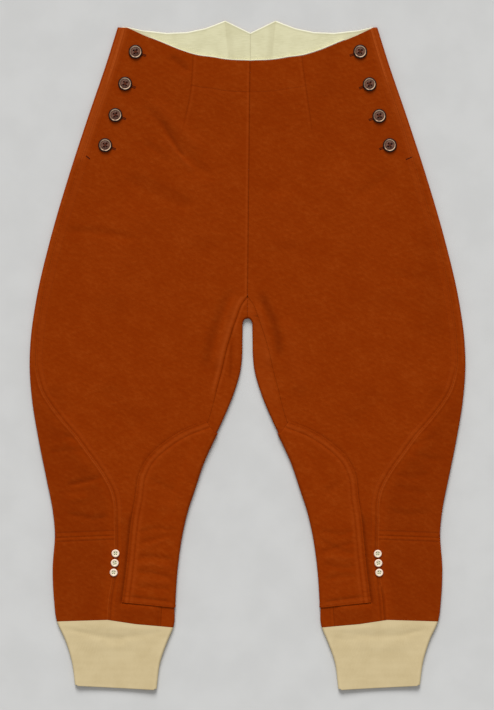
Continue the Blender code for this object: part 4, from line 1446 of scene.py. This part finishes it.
def front_rows(name):
    side, seam = SIDES[name], side_seam[name]
    down = np.arange(14, HEM_LEVEL - 2, 1.0)
    rows = [
        row_on(name, front_level, seam(down) - offset * slant(seam, down), down)
        for offset in FELL_ROWS
    ]
    far = np.arange(dart_line(name, DART_AT_FACING), middle(side, FACING_DOWN) + 1.5, -1.0)
    waist = front_waist(far - side * lean(FACING_DOWN)) + FACING_ROW
    rows.append(row_on(name, front_level, far, waist))
    return rows


def border_rows(name):
    rows = []
    for line in (KNEE_SEAM - KNEE_ROW_ABOVE, KNEE_SEAM + KNEE_ROW_BELOW):
        across = np.arange(side_seam[name](line) + 1, outer_turn(line) - 0.5, 1.0)
        rows.append(row_on(name, border_level, across, line + knee_tilt(across)))
    return rows


def patch_rows(name):
    """The rows round the patch, read from its own grid so that they lie in its grooves."""
    grid, _ = patch_grid(name)
    top = grid + np.array([0, 0, (CLOTH / 2 - STITCH_SINK) * MM])
    outer, inner = [PATCH_OFFSETS.index(row) for row in PATCH_ROWS]
    low, high, box = [
        PATCH_FOOT_CROWD.index(row) - len(PATCH_FOOT_CROWD) for row in PATCH_FOOT_ROWS + [PATCH_BOX_ROW]
    ]
    return [
        top[:, outer], top[:, inner], top[low, outer:PATCH_ROWS_END], top[high, inner:PATCH_ROWS_END],
        top[box, outer:inner + 1],
    ]


for name in SIDES:
    sew(f"front_stitches_{name}", front_rows(name))
    sew(f"knee_seam_stitches_{name}", border_rows(name))
    sew(f"knee_patch_stitches_{name}", patch_rows(name))

# %% [markdown]
# A turned button is a profile carried round its axis, then drilled four times. The big ones are
# horn, with a raised rim and a dished middle, and the small ones are the usual shirt button. Each
# lies on the cloth, tilted as the cloth is there, and thread crosses between its holes.

# %% Turn the buttons
HORN_PROFILE = [
    (0, 2.1), (3.4, 2.15), (4.8, 2.3), (5.3, 2.2), (5.8, 1.9), (6.4, 1.85), (7.0, 2.4), (7.5, 3.1),
    (7.9, 3.3), (8.4, 3.2), (8.9, 2.8), (9.4, 2.3), (9.8, 1.9), (10, 1.5), (9.8, 0.9), (9.2, 0.4),
    (8.4, 0), (0, 0),
]
HORN_HOLE = {"radius": 1.1, "from_middle": 3.0}
HORN_SPOTS = {
    "left": [(160.3, 44), (175.2, 89.6), (189.2, 134.4), (203.8, 177.6)],
    "right": [(161.4, 43.7), (174.8, 90.4), (188.8, 135.8), (203.8, 177.6)],
}
HORN_TURNS = {"left": [8, -14, 12, 3], "right": [-6, 17, 10, -11]}
HORN_THREAD_LEVEL = 2.35
SHIRT_PROFILE = [
    (0, 1.35), (2.5, 1.4), (3.2, 1.5), (3.7, 1.85), (4.2, 2.1), (4.7, 2.05), (5.2, 1.7), (5.5, 1.3),
    (5.45, 0.7), (5.1, 0.2), (4.6, 0), (0, 0),
]
SHIRT_HOLE = {"radius": 0.6, "from_middle": 2.1}
SHIRT_SPOTS = {
    "left": [(189, 762.1), (190.1, 775.8), (191.6, 789.5)],
    "right": [(186.6, 762.6), (187.5, 776), (188.7, 789.6)],
}
SHIRT_TURNS = [0, 12, -8]
SHIRT_THREAD_LEVEL = 1.5
THREAD_HEIGHT = 0.4
BUTTON_GAP = 0.45
BUTTON_STEPS = 48
HOLE_STEPS = 16
BUTTON_REACH = 4
CROSSED = [(0, 2), (1, 3)]
workshop = bpy.data.collections.new("workshop")
bpy.context.scene.collection.children.link(workshop)


def hole_spots(hole, level=0.0):
    """The middles of a button's four holes, in metres from its own middle."""
    reach = hole["from_middle"]
    angles = [math.pi * (k / 2 + 0.25) for k in range(4)]
    return [Vector((math.cos(angle) * reach, math.sin(angle) * reach, level)) * MM for angle in angles]


def button_mesh(name, profile, hole):
    """A turned button with four sewing holes, their edges eased."""
    rim = bpy.data.meshes.new(f"{name}_profile")
    corners = [(x * MM, 0, z * MM) for x, z in profile]
    rim.from_pydata(corners, [(k, k + 1) for k in range(len(profile) - 1)], [])
    turned = bpy.data.objects.new(name, rim)
    workshop.objects.link(turned)
    screw = turned.modifiers.new("turn", "SCREW")
    screw.steps = screw.render_steps = BUTTON_STEPS
    screw.use_merge_vertices = True
    screw.merge_threshold = WELD * MM
    bm = bmesh.new()
    for spot in hole_spots(hole):
        made = bmesh.ops.create_cone(
            bm, cap_ends=True, segments=HOLE_STEPS, radius1=hole["radius"] * MM,
            radius2=hole["radius"] * MM, depth=4 * profile[0][1] * MM,
        )
        bmesh.ops.translate(bm, verts=made["verts"], vec=spot)
    drill_mesh = bpy.data.meshes.new(f"{name}_drill")
    bm.to_mesh(drill_mesh)
    bm.free()
    drill = bpy.data.objects.new(f"{name}_drill", drill_mesh)
    workshop.objects.link(drill)
    cut = turned.modifiers.new("holes", "BOOLEAN")
    cut.operation = "DIFFERENCE"
    cut.object = drill
    eased = turned.modifiers.new("eased", "BEVEL")
    eased.width = 0.12 * MM
    eased.segments = 2
    eased.angle_limit = math.radians(50)
    shown = turned.evaluated_get(bpy.context.evaluated_depsgraph_get())
    mesh = bpy.data.meshes.new_from_object(shown)
    bpy.data.objects.remove(turned)
    bpy.data.objects.remove(drill)
    mesh.shade_smooth()
    mesh.set_sharp_from_angle(angle=math.radians(40))
    return mesh


def seat_of(name, across, down):
    """The place and the tilt of a button on the cloth."""
    side = SIDES[name]

    def cloth_at(add_across, add_down):
        here = across + add_across, down + add_down
        return Vector(points(side, *here, soft_level(name, *np.array(here))))

    run_across = cloth_at(BUTTON_REACH, 0) - cloth_at(-BUTTON_REACH, 0)
    run_down = cloth_at(0, BUTTON_REACH) - cloth_at(0, -BUTTON_REACH)
    normal = run_across.cross(run_down).normalized()
    if normal.z < 0:
        normal = -normal
    tilt = Vector((0, 0, 1)).rotation_difference(normal)
    return cloth_at(0, 0) + normal * (CLOTH / 2 + BUTTON_GAP) * MM, tilt


def place_button(node, mesh, seat, turn, material):
    made = add_object(f"{node}_turned", mesh, material)
    made.rotation_mode = "QUATERNION"
    made.location = seat[0]
    made.rotation_quaternion = seat[1] @ Quaternion((0, 0, 1), math.radians(turn))
    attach(made, "root")
    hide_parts(node)
    return made


def thread_through(button, hole, level):
    """The ends of the threads that cross a placed button from hole to hole."""
    turn = button.rotation_quaternion
    spots = [button.location + turn @ spot for spot in hole_spots(hole, level)]
    return [(spots[first], spots[second]) for first, second in CROSSED]


horn_mesh = button_mesh("horn_button", HORN_PROFILE, HORN_HOLE)
shirt_mesh = button_mesh("shirt_button", SHIRT_PROFILE, SHIRT_HOLE)
for name in SIDES:
    horn_threads = []
    for k, spot in enumerate(HORN_SPOTS[name]):
        node = f"horn_button_{name}_{k + 1}"
        made = place_button(node, horn_mesh, seat_of(name, *spot), HORN_TURNS[name][k], HORN)
        horn_threads += thread_through(made, HORN_HOLE, HORN_THREAD_LEVEL)
    shirt_threads = []
    for k, spot in enumerate(SHIRT_SPOTS[name]):
        node = f"cuff_button_{name}_{k + 1}"
        made = place_button(node, shirt_mesh, seat_of(name, *spot), SHIRT_TURNS[k], SHELL)
        shirt_threads += thread_through(made, SHIRT_HOLE, SHIRT_THREAD_LEVEL)
    for piece, pairs, material, width in [
        (f"horn_button_thread_{name}", horn_threads, RUST_THREAD, 0.55),
        (f"cuff_button_thread_{name}", shirt_threads, CREAM_THREAD, 0.45),
    ]:
        starts, stops = np.array(pairs).transpose(1, 0, 2)
        add_stitches(piece, stitch_mesh(piece, starts, stops, width, THREAD_HEIGHT), material)
print("buttons:", len(horn_mesh.polygons), "and", len(shirt_mesh.polygons), "faces each")

# %% [markdown]
# A buttonhole is a slit whose edges are bound with close stitches, and a bar tack is a short pile
# of the same stitches where a seam would tear. Here the bound edges of a slit run from each horn
# button towards the middle of the body and a little downwards, without a cut between them, and a
# tack holds the foot of each side opening.

# %% Work the buttonholes and the bar tacks
SLIT_SLOPE = math.radians(21)
SLIT_FROM = -5
SLIT_TO = 16
BOUND_WIDTH = 1.8
BOUND_PITCH = 0.55
BOUND_THREAD = (0.6, 0.5)
TACKS = {
    "left": ((231, 193), (225.5, 197.3)),
    "right": ((227, 198), (235.6, 194.5)),
}


def bound_slit(name, start, stop, reach):
    """Close stitches on both sides of a slit from one (across, down) to another, or over it for a tack."""
    run = np.array(stop) - np.array(start)
    length = np.hypot(*run)
    along = run / length
    beside = np.array([-along[1], along[0]])
    places = np.arange(0, length, BOUND_PITCH)[:, None] * along + np.array(start)
    pairs = []
    for first, second in reach:
        ends = [places + beside * first, places + beside * second]
        pairs.append([row_on(name, front_level, *end.T, sink=-0.05) for end in ends])
    return [np.concatenate(ends) for ends in zip(*pairs)]


for name in SIDES:
    starts, stops = [], []
    for across, down in HORN_SPOTS[name]:
        step = np.array([-math.cos(SLIT_SLOPE), math.sin(SLIT_SLOPE)])
        spot = np.array([across, down])
        both = [(0.15, BOUND_WIDTH), (-0.15, -BOUND_WIDTH)]
        first, second = bound_slit(name, spot + SLIT_FROM * step, spot + SLIT_TO * step, both)
        starts.append(first)
        stops.append(second)
    first, second = bound_slit(name, *TACKS[name], [(-1.0, 1.0)])
    starts.append(first)
    stops.append(second)
    piece = f"buttonhole_stitches_{name}"
    mesh = stitch_mesh(piece, np.concatenate(starts), np.concatenate(stops), *BOUND_THREAD)
    add_stitches(piece, mesh, HOLE_THREAD)
    print(f"{piece}: {sum(len(rows) for rows in starts)} stitches")

# %% [markdown]
# A copy stand is the photographer's answer to a flat thing: the camera looks straight down, and a
# broad soft light from beyond the waist gives every fold a lit side and a shaded one. The floor
# is plain and pale.

# %% Set the floor, the light and the camera
FLOOR_DROP = 0.2
FLOOR_REACH = 16
CAMERA_LENS = 180
SENSOR = 36
PHOTO_SIZE = (494, 710)
MM_PER_PIXEL = 1.432
PHOTO_MIDDLE_X = -0.7
KEY_STRENGTH = 3.0
KEY_SOFTNESS = 30
KEY_WAY = (-0.2, 2.4, 1.6)
ROOM_STRENGTH = 0.45


def pale_floor():
    finish = Finish("pale_floor", {"Roughness": 0.9})
    cloudy = finish.noise(finish.place(), 60, detail=3.0)
    colour = finish.blend(finish.ramp(cloudy, 0.3, 0.7), (0.60, 0.60, 0.59, 1), (0.63, 0.63, 0.62, 1))
    return finish.finish(Base_Color=colour)


def add_floor():
    bm = bmesh.new()
    bmesh.ops.create_grid(bm, x_segments=1, y_segments=1, size=FLOOR_REACH)
    mesh = bpy.data.meshes.new("floor")
    bm.to_mesh(mesh)
    bm.free()
    mesh.materials.append(pale_floor())
    floor = bpy.data.objects.new("floor", mesh)
    floor.location.z = -FLOOR_DROP * MM
    bpy.context.scene.collection.objects.link(floor)


def add_light(name, strength, softness, way):
    """Even light from one side of the room, as from a big lamp far away."""
    lamp = bpy.data.lights.new(name, "SUN")
    lamp.energy = strength
    lamp.angle = math.radians(softness)
    made = bpy.data.objects.new(name, lamp)
    made.location = way
    made.rotation_mode = "QUATERNION"
    made.rotation_quaternion = (-Vector(way)).to_track_quat("-Z", "Y")
    bpy.context.scene.collection.objects.link(made)


def add_camera():
    lens = bpy.data.cameras.new("camera")
    lens.lens = CAMERA_LENS
    lens.sensor_width = SENSOR
    made = bpy.data.objects.new("camera", lens)
    height = PHOTO_SIZE[1] * MM_PER_PIXEL * CAMERA_LENS / SENSOR + EDGE_LEVEL
    made.location = (PHOTO_MIDDLE_X * MM, 0, height * MM)
    bpy.context.scene.collection.objects.link(made)
    bpy.context.scene.camera = made
    return height


add_floor()
add_light("key", KEY_STRENGTH, KEY_SOFTNESS, KEY_WAY)
world = bpy.data.worlds.new("studio")
world.use_nodes = True
world.node_tree.nodes["Background"].inputs["Color"].default_value = (1, 1, 1, 1)
world.node_tree.nodes["Background"].inputs["Strength"].default_value = ROOM_STRENGTH
bpy.context.scene.world = world
bpy.context.scene.view_settings.view_transform = "Standard"
print("camera:", round(add_camera()), "mm above the floor")
